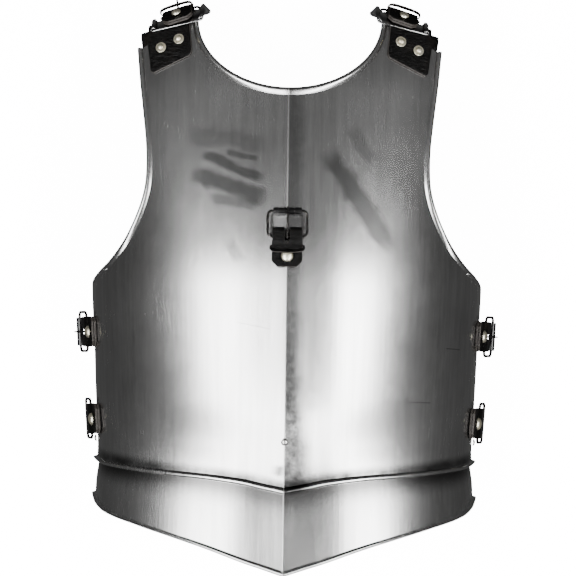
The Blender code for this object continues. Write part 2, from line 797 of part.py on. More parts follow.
def beyond_edge(distance, turn, run, lift):
    """Point over the shoulder, past the plate's top edge: the leather bends round a
    hinge, then follows the arc of the shoulder lame, then runs straight for a stretch."""
    girth, height = shoulder_edge(distance)
    start = edge_angle()
    front = math.radians(LAME_FRONT_ANGLE)
    twist = SHOULDER_TWIST * (distance - NECK_CORNER) / TWIST_REACH

    def out(a):
        return Vector((0, math.sin(a), math.cos(a)))

    def along(a):
        return Vector((0, math.cos(a), -math.sin(a)))

    point = skin(girth, height) + along(start) * twist + out(start) * lift
    hinge = min(turn, front)
    point += (out(hinge) - out(start)) * (HINGE_BEND + lift)
    if turn > front:
        point += (out(turn) - out(front)) * (LAME_BEND + lift)
    return point + (along(turn) + Vector((-SHOULDER_INWARD, 0, 0))) * run


def over_shoulder_stations(first_turn):
    """Turn and straight run of each station past the top edge of the plate."""
    stub = math.radians(STUB_ANGLE)
    turns = np.linspace(first_turn, stub, 4)
    return [(float(turn), 0.0) for turn in turns] + [(stub, STUB_LENGTH)]


def shoulder_strip(name, side, centre, width, reach, low_lift, kind):
    """A leather strip that lies along the plate and goes on over the shoulder."""
    places = np.linspace(centre - width / 2, centre + width / 2, 4)
    levels = (low_lift, low_lift + TAB_THICK)
    rings = []
    for share in np.linspace(1.0, 0.0, 4):
        ring = []
        for lift, order in ((levels[1], places), (levels[0], places[::-1])):
            for distance in order:
                girth, height = shoulder_edge(distance)
                girth = girth_of(distance * (1 - TAB_TAPER * share), height - share * reach / PLATE_HEIGHT)
                ring.append(raised(girth, height - share * reach / PLATE_HEIGHT, lift))
        rings.append(ring)
    front = math.radians(LAME_FRONT_ANGLE)
    middle = (edge_angle() + front) / 2
    for turn, run in [(middle, 0.0)] + over_shoulder_stations(front):
        ring = []
        for lift, order in ((levels[1], places), (levels[0], places[::-1])):
            ring += [beyond_edge(distance, turn, run, lift) for distance in order]
        rings.append(ring)
    for ring in rings:
        for point in ring:
            point.x *= side
    return loft(name, rings, kind)


LAME_SEAT = 2 * GAP + TAB_THICK
BUCKLE_SEAT = LAME_SEAT + SHOULDER_LAME_STEEL


def build_shoulder_lame(name, side):
    """The small steel plate over the shoulder, with its two side edges rolled up."""
    roll = (ROLLED_EDGE - SHOULDER_LAME_STEEL) / 2
    middle = LAME_SEAT + SHOULDER_LAME_STEEL / 2
    line = []
    for degrees in np.linspace(160.0, -90.0, 5):
        a = math.radians(degrees)
        line.append((SHOULDER_LAME_INNER - roll * math.cos(a), middle + roll + roll * math.sin(a)))
    line += [(d, middle) for d in np.linspace(SHOULDER_LAME_INNER, SHOULDER_LAME_OUTER, 4)[1:-1]]
    for degrees in np.linspace(-90.0, 160.0, 5):
        a = math.radians(degrees)
        line.append((SHOULDER_LAME_OUTER + roll * math.cos(a), middle + roll + roll * math.sin(a)))
    left, right = ribbon_outline(line, SHOULDER_LAME_STEEL)
    outline = list(left) + list(right[::-1])
    rings = []
    for turn, run in over_shoulder_stations(math.radians(LAME_FRONT_ANGLE)):
        ring = [beyond_edge(distance, turn, run, lift) for distance, lift in outline]
        rings.append([Vector((p.x * side, p.y, p.z)) for p in ring])
    return loft(name, rings, "steel")


def shoulder_plane(side, turn_degrees, run):
    """Placing matrix on the shoulder lame, with Y to the back and Z out of the steel."""
    turn = math.radians(turn_degrees)
    spread = 0.005
    points = []
    for distance in (BUCKLE_OFFSET - spread, BUCKLE_OFFSET, BUCKLE_OFFSET + spread):
        p = beyond_edge(distance, turn, run, BUCKLE_SEAT)
        points.append(Vector((p.x * side, p.y, p.z)))
    across = (points[2] - points[0]) * side
    inward = SHOULDER_INWARD * side if run else 0.0
    along = Vector((-inward, math.cos(turn), -math.sin(turn)))
    return frame_at(points[1], across, across.cross(along))


def build_shoulder(prefix, side, plate_cutters, raise_angle):
    """Leathers, steel lame and buckle of one shoulder."""
    inner_lift = -(STEEL + LINED_GAP + TAB_THICK)
    tab = shoulder_strip(
        prefix + "_tab", side, TAB_MIDDLE, TAB_WIDTH, TAB_REACH, GAP, "leather")
    liner = shoulder_strip(
        prefix + "_liner", side, LINER_MIDDLE, LINER_WIDTH, LINER_REACH, inner_lift, "leather")
    lame = build_shoulder_lame(prefix + "_lame", side)

    # Two riveted washers hold the leathers to the plate
    tab_holes = []
    liner_holes = []
    rivet_middle = SHOULDER_MIDDLE + TAB_RIVET_SHIFT
    rivet_places = (rivet_middle - TAB_RIVET_SPACING / 2, rivet_middle + TAB_RIVET_SPACING / 2)
    for which, distance in zip(("inner", "outer"), rivet_places):
        girth, height = shoulder_edge(distance)
        height -= TAB_RIVET_SETBACK / PLATE_HEIGHT
        girth = girth_of(distance, height)
        point, normal = skin(girth, height), skin_normal(girth, height)
        point.x *= side
        normal.x *= side
        place = frame_at(point, Vector((1, 0, 0)), normal)
        hole = STEEL + TAB_THICK * 3
        tab_holes.append(drill("hole", place, hole))
        liner_holes.append(drill("hole", place, hole))
        plate_cutters.append(drill("hole", place, hole))
        seat = 2 * GAP + TAB_THICK
        radius = SHANK / 2 + GAP
        ring = [(radius, WASHER_THICK), (WASHER_DIAMETER / 2, WASHER_THICK * 0.6),
                (WASHER_DIAMETER / 2, 0.0), (radius, 0.0)]
        on_tab = place @ Matrix.Translation((0, 0, seat))
        lathe(f"{prefix}_{which}_washer", ring, RING_SIDES, on_tab, "nickel", closed=True)
        on_washer = on_tab @ Matrix.Translation((0, 0, WASHER_THICK))
        grip = WASHER_THICK + seat + STEEL + LINED_GAP + TAB_THICK
        rivet(f"{prefix}_{which}_rivet", on_washer, TAB_RIVET_HEAD, grip)

    # The buckle's rivet goes through its leather, the lame, the tab and the liner
    place = shoulder_plane(side, BUCKLE_RIVET_ANGLE, 0.0)
    flat = shoulder_plane(side, STUB_ANGLE, STUB_LENGTH / 2)
    normal = flat.col[2].xyz
    forward = place.col[1].xyz
    bend_at = (flat.translation - place.translation).dot(normal) / forward.dot(normal)
    angle = -place.col[2].xyz.angle(normal)
    deep = BUCKLE_SEAT + STEEL + LINED_GAP + 2 * TAB_THICK
    for obj, holes in ((tab, tab_holes), (liner, liner_holes), (lame, [])):
        holes.append(drill("hole", place, deep))
        cut(obj, obj.name + "_holes", holes)
    grip = BUCKLE_SEAT + STEEL + LINED_GAP + TAB_THICK + BEND_SEAT
    build_buckle(prefix + "_buckle", place, bend_at, angle, grip, True, raise_angle)


# Fittings on the front and the sides
def ridge_place(y):
    height = y / PLATE_HEIGHT
    return frame_at(skin(0.0, height), Vector((1, 0, 0)), skin_normal(0.0, height))


def side_place(side, y, depth):
    """Placing matrix on the side of the plate, with Y pointing to the back."""
    low, high = 0.5, 1.0
    for _ in range(40):
        girth = (low + high) / 2
        if skin(girth, height_at(girth, y)).z > depth:
            low = girth
        else:
            high = girth
    height = height_at(girth, y)
    point, normal = skin(girth, height), skin_normal(girth, height)
    normal.x *= side
    point.x *= side
    return frame_at(point, Vector((0, -side, 0)), normal)


def build_fittings(plate, lame, plate_cutters):
    bend_at = BUCKLE_RIVET_HEAD / 2 + GAP
    centre = ridge_place(CENTRE_BUCKLE_HEIGHT)
    build_buckle("centre_buckle", centre, bend_at, 0.0, STEEL + BEND_SEAT, True)
    plate_cutters.append(drill("hole", centre, DRILL_DEPTH))

    lift = math.radians(SIDE_BUCKLE_LIFT)
    for label, side in (("left", -1), ("right", 1)):
        upper = side_place(side, SIDE_BUCKLE_HEIGHT, SIDE_FITTING_DEPTH)
        build_buckle(label + "_side_buckle", upper, bend_at, lift, STEEL, False)
        plate_cutters.append(drill("hole", upper, DRILL_DEPTH))
        lower = side_place(side, SIDE_TAB_HEIGHT, SIDE_FITTING_DEPTH)
        build_chape(label + "_side_tab", lower, bend_at, 0.0, False, False)
        build_frame(label + "_side_loop", lower)
        stack = 2 * STRAP_THICK + 2 * GAP
        above = lower @ Matrix.Translation((0, 0, stack))
        rivet(label + "_side_tab_rivet", above, BUCKLE_RIVET_HEAD, stack + STEEL)
        plate_cutters.append(drill("hole", lower, DRILL_DEPTH))

    # Three rivets hold the waist lame under the plate
    lame_cutters = []
    places = [("lame_centre_rivet", ridge_place(FRONT_RIVET_HEIGHT))]
    for label, side in (("left", -1), ("right", 1)):
        depth = SIDE_FITTING_DEPTH * 0.6
        place = side_place(side, WAIST_RISE + SIDE_RIVET_HEIGHT, depth)
        places.append((f"lame_{label}_rivet", place))
    for name, place in places:
        seat = BEND_SEAT if name == "lame_centre_rivet" else 0.0
        rivet(name, place, PLATE_RIVET_HEAD, 2 * STEEL + LAME_GAP + seat, "steel")
        plate_cutters.append(drill("hole", place, DRILL_DEPTH))
        lame_cutters.append(drill("hole", place, DRILL_DEPTH))
    cut(lame, "waist_lame_holes", lame_cutters)
    cut(plate, "breastplate_holes", plate_cutters)


def centre_on_origin():
    """Move the whole cuirass so that the middle of its outline lies over the origin."""
    bpy.context.view_layer.update()
    graph = bpy.context.evaluated_depsgraph_get()
    points = []
    for obj in bpy.data.objects:
        if obj.type in {"MESH", "CURVE"} and not obj.hide_render:
            shape = obj.evaluated_get(graph).to_mesh()
            points += [obj.matrix_world @ vertex.co for vertex in shape.vertices]
    middle = [(min(p[i] for p in points) + max(p[i] for p in points)) / 2 for i in (0, 1)]
    bpy.data.objects[ROOT].location = (-middle[0], -middle[1], 0.0)
    bpy.context.view_layer.update()


for old in list(bpy.data.objects):
    bpy.data.objects.remove(old)
add_object(ROOT, None)
holes_in_plate = []
breastplate = build_breastplate()
waist_lame = build_waist_lame()
build_shoulder("left_shoulder", -1, holes_in_plate, math.radians(RAISED_TONGUE))
build_shoulder("right_shoulder", 1, holes_in_plate, 0.0)
build_fittings(breastplate, waist_lame, holes_in_plate)
centre_on_origin()
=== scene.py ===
"""A steel cuirass breastplate with its waist lame, shoulder pieces and strap buckles."""
import json
import math

import bmesh
import bpy
import numpy as np
from mathutils import Matrix, Vector


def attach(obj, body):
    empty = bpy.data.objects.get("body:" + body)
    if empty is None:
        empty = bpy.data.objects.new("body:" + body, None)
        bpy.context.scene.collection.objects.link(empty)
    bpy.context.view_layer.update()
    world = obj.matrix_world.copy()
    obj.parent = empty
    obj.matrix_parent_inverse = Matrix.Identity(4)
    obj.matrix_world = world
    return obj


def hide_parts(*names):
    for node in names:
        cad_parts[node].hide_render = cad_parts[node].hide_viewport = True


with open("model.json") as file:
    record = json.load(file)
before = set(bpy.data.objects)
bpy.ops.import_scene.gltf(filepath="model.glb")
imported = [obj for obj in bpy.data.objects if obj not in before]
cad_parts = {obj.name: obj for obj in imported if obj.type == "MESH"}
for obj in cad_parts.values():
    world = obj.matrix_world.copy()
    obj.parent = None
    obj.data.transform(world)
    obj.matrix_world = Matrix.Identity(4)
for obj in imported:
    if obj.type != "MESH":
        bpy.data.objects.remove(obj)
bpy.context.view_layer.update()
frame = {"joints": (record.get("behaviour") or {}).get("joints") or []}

# The view: the cuirass lies on its open back on a plain white table, and is looked at from
# straight above through a long lens. The tilt of the photograph is a turn of the camera.
VIEW_HEIGHT = 0.553
CAMERA_DISTANCE = 9.0
camera = bpy.data.objects.new("camera", bpy.data.cameras.new("camera"))
bpy.context.scene.collection.objects.link(camera)
camera.location = (0.0013, -0.0043, CAMERA_DISTANCE)
camera.rotation_euler = (0.0, 0.0, math.radians(0.75))
camera.data.lens = 36.0 * (CAMERA_DISTANCE - 0.10) / VIEW_HEIGHT
bpy.context.scene.camera = camera


# The table and the light: two tall soft lights stand left and right of the view, more toward
# the waist than the neck. A wide dim ceiling fills between them, and the far sides are dark.
def soft_light(name, place, width, length, watts):
    light = bpy.data.lights.new(name, "AREA")
    light.shape = "RECTANGLE"
    light.size = width
    light.size_y = length
    light.energy = watts
    lamp = bpy.data.objects.new(name, light)
    bpy.context.scene.collection.objects.link(lamp)
    lamp.location = place


soft_light("strip_left", (-1.03, -0.72, 1.6), 0.86, 2.35, 96)
soft_light("strip_right", (1.17, -0.72, 1.6), 0.64, 2.35, 92)
soft_light("ceiling", (0, 0.6, 3.0), 6.0, 6.0, 12)

world = bpy.data.worlds.new("studio")
bpy.context.scene.world = world
world.use_nodes = True
world.node_tree.nodes["Background"].inputs["Color"].default_value = (0.10, 0.10, 0.10, 1)
world.node_tree.nodes["Background"].inputs["Strength"].default_value = 0.8

bpy.ops.object.select_all(action="DESELECT")
bpy.ops.mesh.primitive_plane_add(size=24.0)
table = bpy.context.object
table.name = "table"
white = bpy.data.materials.new("table_white")
white.use_nodes = True
paint = white.node_tree.nodes["Principled BSDF"]
paint.inputs["Base Color"].default_value = (0.9, 0.9, 0.9, 1)
paint.inputs["Roughness"].default_value = 0.9
paint.inputs["Specular IOR Level"].default_value = 0.0
paint.inputs["Emission Color"].default_value = (1, 1, 1, 1)
paint.inputs["Emission Strength"].default_value = 14.0
table.data.materials.append(white)
# The photograph is cut out on plain white, so the table neither lights nor mirrors in the plate
table.visible_glossy = False
table.visible_diffuse = False


# Breastplate: one sheet of 1.6 mm steel, raised to a sharp keel down the middle. The neck,
# arm and waist edges are turned outwards, and the side edges are cut straight.
PLATE_WIDTH = 0.377
PLATE_HEIGHT = 0.4545
CHEST_DEPTH = 0.172
STEEL = 0.0016
WAIST_Y = -0.201541
ARMPIT_HEIGHT = 0.1955
NECK_WIDTH = 0.1750
NECK_DROP = 0.0655
SHOULDER_DROP = 0.0288
WAIST_RISE = 0.0302
LIP_RISE = 0.0036
LIP_TOP = 0.60
NECK_LIP = 0.0068
ARM_LIP = 0.0060
WAIST_LIP = 0.0066
KEEL_SHARPNESS = 1.30
SIDE_FULLNESS = 3.20
RIM = 0.0040
HOLLOW_WIDTH = 0.060
HOLLOW_SLOPE = 0.11
LAME_DROP = 0.0786
LAME_RISE = 0.0750
EDGE_ROUNDING = 0.24
SMOOTH_ANGLE = 17
COLUMNS = 64
NECK_ROWS = 40
CHEST_ROWS = 44
BELLY_ROWS = 60
LIP_STEPS = 8
# Height share of the plate, ridge depth share, half width share
SECTIONS = [
    (-0.20, 0.905, 0.984), (-0.10, 0.872, 0.980), (-0.03, 0.848, 0.970), (0.02, 0.842, 0.961),
    (0.08, 0.880, 0.966), (0.18, 0.962, 0.976), (0.30, 1.000, 0.985), (0.43, 0.985, 1.000),
    (0.55, 0.935, 1.000), (0.70, 0.842, 1.000), (0.855, 0.706, 1.000), (0.93, 0.620, 1.000),
    (1.02, 0.500, 1.000),
]
# Share of the armhole's height above the armpit, share of the girth from ridge to side edge
ARMHOLE = [
    (0.000, 1.000), (0.012, 0.930), (0.036, 0.840), (0.064, 0.765), (0.104, 0.688),
    (0.167, 0.622), (0.242, 0.573), (0.338, 0.532), (0.420, 0.511), (0.500, 0.505),
    (0.600, 0.508), (0.733, 0.522), (0.867, 0.538), (1.000, 0.551),
]
# Share of the half width, share of the waist edge's rise, share of the lame edge's rise
EDGE_RISES = [
    (0.00, 0.000, 0.000), (0.13, 0.160, 0.105), (0.21, 0.270, 0.168), (0.41, 0.430, 0.345),
    (0.58, 0.520, 0.478), (0.77, 0.640, 0.625), (0.93, 0.790, 0.765), (0.98, 0.900, 0.875),
    (1.00, 1.000, 1.000),
]


def curve_at(rows, column, place):
    """Value of one column of a table at a place, on a smooth curve through its rows."""
    xs = [row[0] for row in rows]
    ys = [row[column] for row in rows]
    i = min(max(int(np.searchsorted(xs, place)) - 1, 0), len(xs) - 2)
    slopes = []
    for k in (i, i + 1):
        a, b = max(k - 1, 0), min(k + 1, len(xs) - 1)
        slopes.append((ys[b] - ys[a]) / (xs[b] - xs[a]))
    width = xs[i + 1] - xs[i]
    t = min(max((place - xs[i]) / width, 0.0), 1.0)
    start = (1 + 2 * t) * (1 - t) ** 2 * ys[i] + t * (1 - t) ** 2 * width * slopes[0]
    end = t * t * (3 - 2 * t) * ys[i + 1] + t * t * (t - 1) * width * slopes[1]
    return start + end


angles = np.linspace(0.0, math.pi / 2, 600)
across_line = np.sin(angles) ** (2 / KEEL_SHARPNESS) * PLATE_WIDTH / 2
height_line = np.abs(np.cos(angles)) ** (2 / SIDE_FULLNESS) * CHEST_DEPTH
steps = np.hypot(np.diff(across_line), np.diff(height_line))
lengths = np.concatenate(([0.0], np.cumsum(steps)))
GIRTH = float(lengths[-1])
girth_shares = lengths / GIRTH
turning = np.unwrap(np.arctan2(np.gradient(height_line), np.gradient(across_line)))
turned = (turning[1] - turning) / (turning[1] - turning[-1])
spread = np.maximum.accumulate(0.65 * girth_shares + 0.35 * turned)
spread = (spread - spread[0]) / (spread[-1] - spread[0]) + np.linspace(0.0, 1e-6, len(spread))


def columns_between(start, end, count):
    a, b = np.interp((start, end), girth_shares, spread)
    return np.interp(np.linspace(a, b, count + 1), spread, girth_shares)


def girth_of(distance, height):
    share = min(abs(distance) / (curve_at(SECTIONS, 2, height) * PLATE_WIDTH / 2), 1.0)
    angle = math.asin(share ** (KEEL_SHARPNESS / 2))
    return float(np.interp(angle, angles, girth_shares))


def skin(girth, height):
    """Point of the outer surface. Girth runs from 0 on the ridge to 1 on the side edge."""
    angle = float(np.interp(girth, girth_shares, angles))
    across = math.sin(angle) ** (2 / KEEL_SHARPNESS)
    rise = WAIST_RISE * curve_at(EDGE_RISES, 1, across)
    if height < 0:
        hem = LAME_RISE * curve_at(EDGE_RISES, 2, across)
        rise += (hem - rise) * min(-height * PLATE_HEIGHT / LAME_DROP, 1.0)
    else:
        t = min(height * PLATE_HEIGHT / ARMPIT_HEIGHT, 1.0)
        rise *= 1 - t * t * (3 - 2 * t)
    x = curve_at(SECTIONS, 2, height) * PLATE_WIDTH / 2 * across
    z = curve_at(SECTIONS, 1, height) * CHEST_DEPTH * abs(math.cos(angle)) ** (2 / SIDE_FULLNESS)
    # The flanks are slightly hollow beside the keel, which makes it crisp
    t = min(x / HOLLOW_WIDTH, 1.0)
    z -= HOLLOW_SLOPE * HOLLOW_WIDTH * t * (1 - t) ** 2
    return Vector((x, height * PLATE_HEIGHT + rise + WAIST_Y, z + RIM))


def skin_normal(girth, height):
    step = 2e-3
    out = skin(min(girth + step, 1.0), height) - skin(max(girth - step, 0.0), height)
    up = skin(girth, height + step) - skin(girth, height - step)
    normal = out.cross(up)
    if girth < step:
        normal.x = 0.0
    if girth >= 1:
        normal.z = 0.0
    return normal.normalized()


def raised(girth, height, lift):
    return skin(girth, height) + skin_normal(girth, height) * lift


def evenly(points, count):
    points = np.array(points)
    walked = np.concatenate(([0.0], np.cumsum(np.hypot(*np.diff(points, axis=0).T))))
    places = np.linspace(0.0, walked[-1], count + 1)
    return np.column_stack([np.interp(places, walked, points[:, k]) for k in (0, 1)])


def beside(points, widths, side):
    ahead = np.gradient(points, axis=0)
    ahead /= np.linalg.norm(ahead, axis=1)[:, None]
    return points + np.column_stack((-ahead[:, 1], ahead[:, 0])) * side * np.array(widths)[:, None]


def formed_sheet(name, places, flat):
    """A grid whose points are beaten to the given places. The flat places become its UVs."""
    rows, columns = len(places), len(places[0])
    bpy.ops.object.select_all(action="DESELECT")
    bpy.ops.mesh.primitive_grid_add(x_subdivisions=columns - 1, y_subdivisions=rows - 1, size=1)
    sheet = bpy.context.object
    sheet.name = name
    where = []
    for vertex in sheet.data.vertices:
        column = round((vertex.co.x + 0.5) * (columns - 1))
        row = round((0.5 - vertex.co.y) * (rows - 1))
        vertex.co = places[row][column]
        where.append(flat[row][column])
    uvs = sheet.data.uv_layers[0]
    for loop in sheet.data.loops:
        uvs.data[loop.index].uv = where[loop.vertex_index]
    return sheet


def smooth(degrees):
    bpy.ops.object.shade_smooth_by_angle(angle=math.radians(degrees))


def plate_from(name, sheets, wall):
    """Join the half sheets, mirror them over the keel and give them their wall."""
    bpy.ops.object.select_all(action="DESELECT")
    for sheet in sheets:
        sheet.select_set(True)
    bpy.context.view_layer.objects.active = sheets[0]
    if len(sheets) > 1:
        bpy.ops.object.join()
    plate = bpy.context.object
    plate.name = name
    bpy.ops.object.mode_set(mode="EDIT")
    bpy.ops.mesh.select_all(action="SELECT")
    bpy.ops.mesh.remove_doubles(threshold=1e-5)
    bpy.ops.mesh.normals_make_consistent(inside=False)
    bpy.ops.object.mode_set(mode="OBJECT")
    middle = max(plate.data.polygons, key=lambda face: face.center.z)
    if middle.normal.z < 0:
        plate.data.flip_normals()
    mirror = plate.modifiers.new("other_half", "MIRROR")
    mirror.merge_threshold = 1e-5
    thickness = plate.modifiers.new("wall", "SOLIDIFY")
    thickness.thickness = wall
    thickness.offset = -1.0
    thickness.bevel_convex = 1.0
    rounding = plate.modifiers.new("filed_edges", "BEVEL")
    rounding.width = wall * EDGE_ROUNDING
    rounding.segments = 2
    rounding.limit_method = "WEIGHT"
    for modifier in list(plate.modifiers):
        bpy.ops.object.modifier_apply(modifier=modifier.name)
    smooth(SMOOTH_ANGLE)
    return plate


def rolled_edge(share, girth=0.0):
    """Lift of a turned edge, which rises steeply out of a crease and rolls over to a round rim.
    Beside the side edges of the plate it dies away."""
    rise = math.sin(min(share / LIP_TOP, 1.0) * math.pi / 2)
    rise -= 0.45 * (max(share - LIP_TOP, 0.0) / (1 - LIP_TOP)) ** 2
    return LIP_RISE * rise * (1 - 0.70 * max(girth - 0.95, 0.0) / 0.05)


neck = []
for angle in np.linspace(math.pi / 2, 0.0, 200):
    distance = NECK_WIDTH / 2 * math.sin(angle)
    y = PLATE_HEIGHT - NECK_DROP * math.cos(angle)
    neck.append((girth_of(distance, y / PLATE_HEIGHT) * GIRTH, y))
arm = []
for share in np.linspace(1.0, 0.0, 400):
    y = ARMPIT_HEIGHT + (PLATE_HEIGHT - SHOULDER_DROP - ARMPIT_HEIGHT) * share
    arm.append((curve_at(ARMHOLE, 1, share) * GIRTH, y))
neck_edge = evenly(neck, NECK_ROWS)
arm_edge = evenly(arm, NECK_ROWS + CHEST_ROWS)
# The arm edge narrows and flattens toward the armpit
arm_shares = np.interp(np.linspace(0.0, 1.0, len(arm_edge)), (0.55, 1.0), (0.0, 1.0))
neck_fold = beside(neck_edge, [NECK_LIP] * len(neck_edge), 1)
arm_fold = beside(arm_edge, ARM_LIP * (1 - 0.6 * arm_shares), -1)
neck_fold[-1][0] = 0.0
arm_fold[-1][0] = GIRTH
ridge = np.linspace(neck_fold[-1][1], ARMPIT_HEIGHT + 0.016, CHEST_ROWS + 1)[1:]
inner = [tuple(p) for p in neck_fold] + [(0.0, y) for y in ridge]
field = []
for (g0, y0), (g1, y1) in zip(inner, arm_fold):
    girths = columns_between(g0 / GIRTH, g1 / GIRTH, COLUMNS)
    heights = np.interp(girths, (g0 / GIRTH, g1 / GIRTH), (y0, y1)) / PLATE_HEIGHT
    field.append(list(zip(girths, heights)))
armpit_row = field[-1]
for k in range(1, BELLY_ROWS + 1):
    row = []
    for girth, height in armpit_row:
        low = WAIST_LIP * (1 - 0.5 * girth) / PLATE_HEIGHT
        row.append((girth, height + (low - height) * k / BELLY_ROWS))
    field.append(row)


def lifted_rows(rows):
    """Points and flat places of rows of girth share, height share and lift."""
    places = [[raised(min(max(g, 0.0), 1.0), h, lift) for g, h, lift in row] for row in rows]
    flat = [[(g * GIRTH, h * PLATE_HEIGHT) for g, h, lift in row] for row in rows]
    return places, flat


neck_strip, arm_strip, waist_strip = [], [], []
for edge, fold in zip(neck_edge, neck_fold):
    row = []
    for step in range(LIP_STEPS, -1, -1):
        girth, y = fold + (edge - fold) * step / LIP_STEPS
        row.append((girth / GIRTH, y / PLATE_HEIGHT, 0.80 * rolled_edge(step / LIP_STEPS)))
    neck_strip.append(row)
for k, (edge, fold) in enumerate(zip(arm_edge, arm_fold)):
    fade = float(np.interp(k / (len(arm_edge) - 1), (0.55, 0.80), (1.0, 0.0)))
    row = []
    for step in range(LIP_STEPS + 1):
        girth, y = fold + (edge - fold) * step / LIP_STEPS
        girth = GIRTH if k == len(arm_edge) - 1 else girth
        lift = 0.75 * fade * rolled_edge(step / LIP_STEPS)
        row.append((girth / GIRTH, y / PLATE_HEIGHT, lift))
    arm_strip.append(row)
for step in range(LIP_STEPS + 1):
    share = step / LIP_STEPS
    waist_strip.append([(g, h * (1 - share), rolled_edge(share, g)) for g, h in field[-1]])
field_rows = [[(g, h, 0.0) for g, h in row] for row in field]
pieces = []
for label, rows in (("field", field_rows), ("neck_edge", neck_strip), ("arm_edge", arm_strip),
                    ("waist_edge", waist_strip)):
    pieces.append(formed_sheet(label, *lifted_rows(rows)))
rim = [row[-1] for row in [arm_strip[-1]] + field[len(arm_edge):] + waist_strip[1:]]
rim_places = [raised(1.0, row[1], row[2] if len(row) > 2 else 0.0) for row in rim]
foot = [[p, Vector((p.x, p.y, 0.0))] for p in rim_places]
foot_flat = [[(GIRTH, p.y), (GIRTH + RIM, p.y)] for p, _ in foot]
pieces.append(formed_sheet("foot", foot, foot_flat))
breastplate = plate_from("breastplate_steel", pieces, STEEL)
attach(breastplate, "cuirass")
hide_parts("breastplate")


# Waist lame: a second sheet of the same steel, riveted under the waist edge. Its lower edge
# dips to a point under the keel and is turned outwards.
LAME_LIP = 0.0055
LAME_ROWS = 30
LAME_GAP = 0.0009
TOP_AT_KEEL = 0.0615
TOP_AT_SIDE = 0.0340
sunk = -(STEEL + LAME_GAP)
hem_fold = (LAME_LIP - LAME_DROP) / PLATE_HEIGHT
lame_girths = columns_between(0.0, 1.0, COLUMNS)
lame_rows = []
for k in range(LAME_ROWS + 1):
    row = []
    for girth in lame_girths:
        top = (TOP_AT_KEEL + (TOP_AT_SIDE - TOP_AT_KEEL) * girth) / PLATE_HEIGHT
        row.append((girth, top + (hem_fold - top) * k / LAME_ROWS, sunk))
    lame_rows.append(row)
for step in range(1, LIP_STEPS + 1):
    share = step / LIP_STEPS
    height = (LAME_LIP * (1 - share) - LAME_DROP) / PLATE_HEIGHT
    lame_rows.append([(g, height, sunk + rolled_edge(share, g)) for g in lame_girths])
lame_places, lame_flat = lifted_rows(lame_rows)
lame_foot = [[row[-1], Vector((row[-1].x, row[-1].y, 0.0))] for row in lame_places]
lame_foot_flat = [[(GIRTH, p.y), (GIRTH + RIM, p.y)] for p, _ in lame_foot]
lame_sheet = formed_sheet("lame_field", lame_places, lame_flat)
lame_foot_sheet = formed_sheet("lame_foot", lame_foot, lame_foot_flat)
waist_lame = plate_from("waist_lame_steel", [lame_sheet, lame_foot_sheet], STEEL)
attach(waist_lame, "cuirass")
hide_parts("waist_lame")


# Steel finish: satin, brushed by hand along the height of the plates, with some strokes across,
# with scratches and small spots, and with painted reflections, painted shade and a painted
# highlight.
class Shade:
    """A socket of a material, on which sums are written as with plain numbers."""

    def __init__(self, tree, socket=None):
        self.tree = tree
        self.socket = socket

    def node(self, kind, output=0, settings=None, **inputs):
        """Any other node. Its inputs are given by name, as numbers or as other sockets."""
        made = self.tree.nodes.new("ShaderNode" + kind)
        for name, value in (settings or {}).items():
            setattr(made, name, value)
        for name, value in inputs.items():
            key = int(name[1:]) if name[0] == "i" and name[1:].isdigit() else name.replace("_", " ")
            if isinstance(value, Shade):
                self.tree.links.new(value.socket, made.inputs[key])
            else:
                made.inputs[key].default_value = value
        return Shade(self.tree, made.outputs[output])

    def sum(self, operation, *values):
        named = {f"i{k}": value for k, value in enumerate(values)}
        return self.node("Math", settings={"operation": operation}, **named)

    def __add__(self, other):
        return self.sum("ADD", self, other)

    __radd__ = __add__

    def __sub__(self, other):
        return self.sum("SUBTRACT", self, other)

    def __rsub__(self, other):
        return self.sum("SUBTRACT", other, self)

    def __mul__(self, other):
        return self.sum("MULTIPLY", self, other)

    __rmul__ = __mul__

    def __truediv__(self, other):
        return self.sum("DIVIDE", self, other)

    def between(self, low, high):
        """0 below low, 1 above high, smooth between."""
        return self.node("MapRange", settings={"interpolation_type": "SMOOTHSTEP"},
                         Value=self, From_Min=low, From_Max=high)

    def noise(self, vector, scale, detail=2.0, roughness=0.5):
        return self.node("TexNoise", Vector=vector, Scale=scale, Detail=detail, Roughness=roughness)

    def mix(self, share, low, high):
        """A colour between two, each given as red, green and blue."""
        return self.node("Mix", output=2, settings={"data_type": "RGBA"}, i0=share,
                         i6=(*low, 1), i7=(*high, 1))

    def stretched(self, vector, scale, turn=0.0):
        return self.node("Mapping", Vector=vector, Scale=scale, Rotation=(0.0, 0.0, turn))


def new_finish(name, metallic, roughness):
    """A new material, a Shade to build its nodes with, and its Principled node."""
    finish = bpy.data.materials.new(name)
    finish.use_nodes = True
    shader = finish.node_tree.nodes["Principled BSDF"]
    shader.inputs["Metallic"].default_value = metallic
    shader.inputs["Roughness"].default_value = roughness
    return finish, Shade(finish.node_tree), shader


def feed(shade, shader, name):
    shade.tree.links.new(shade.socket, shader.inputs[name])


steel, s, shader = new_finish("brushed_steel", 1.0, 0.3)
flat = s.node("UVMap", settings={"uv_map": "UVMap"})
place = s.node("TexCoord", output=3)
across = s.node("SeparateXYZ", Vector=place)
up = s.node("SeparateXYZ", output=1, Vector=place) - WAIST_Y
from_waist = s.node("SeparateXYZ", output=1, Vector=flat)
wobble = s.noise(place, 55.0, 3.0) - 0.5
strokes = s.noise(s.stretched(flat, (2300, 50, 1), math.radians(7)), 1.0, 3.0)
counter = s.noise(s.stretched(flat, (2300, 50, 1), math.radians(-9)), 1.0, 3.0)
crossing = s.noise(s.stretched(flat, (1700, 110, 1), math.radians(47)), 1.0, 3.0)
bands = s.noise(s.stretched(flat, (170, 9, 1)), 1.0, 3.0, 0.6)
brushing = strokes * 0.4 + counter * 0.35 + crossing * 0.25
clouds = s.noise(place, 9.0, 4.0, 0.6)
mottle = s.noise(place, 150.0, 4.0, 0.7)


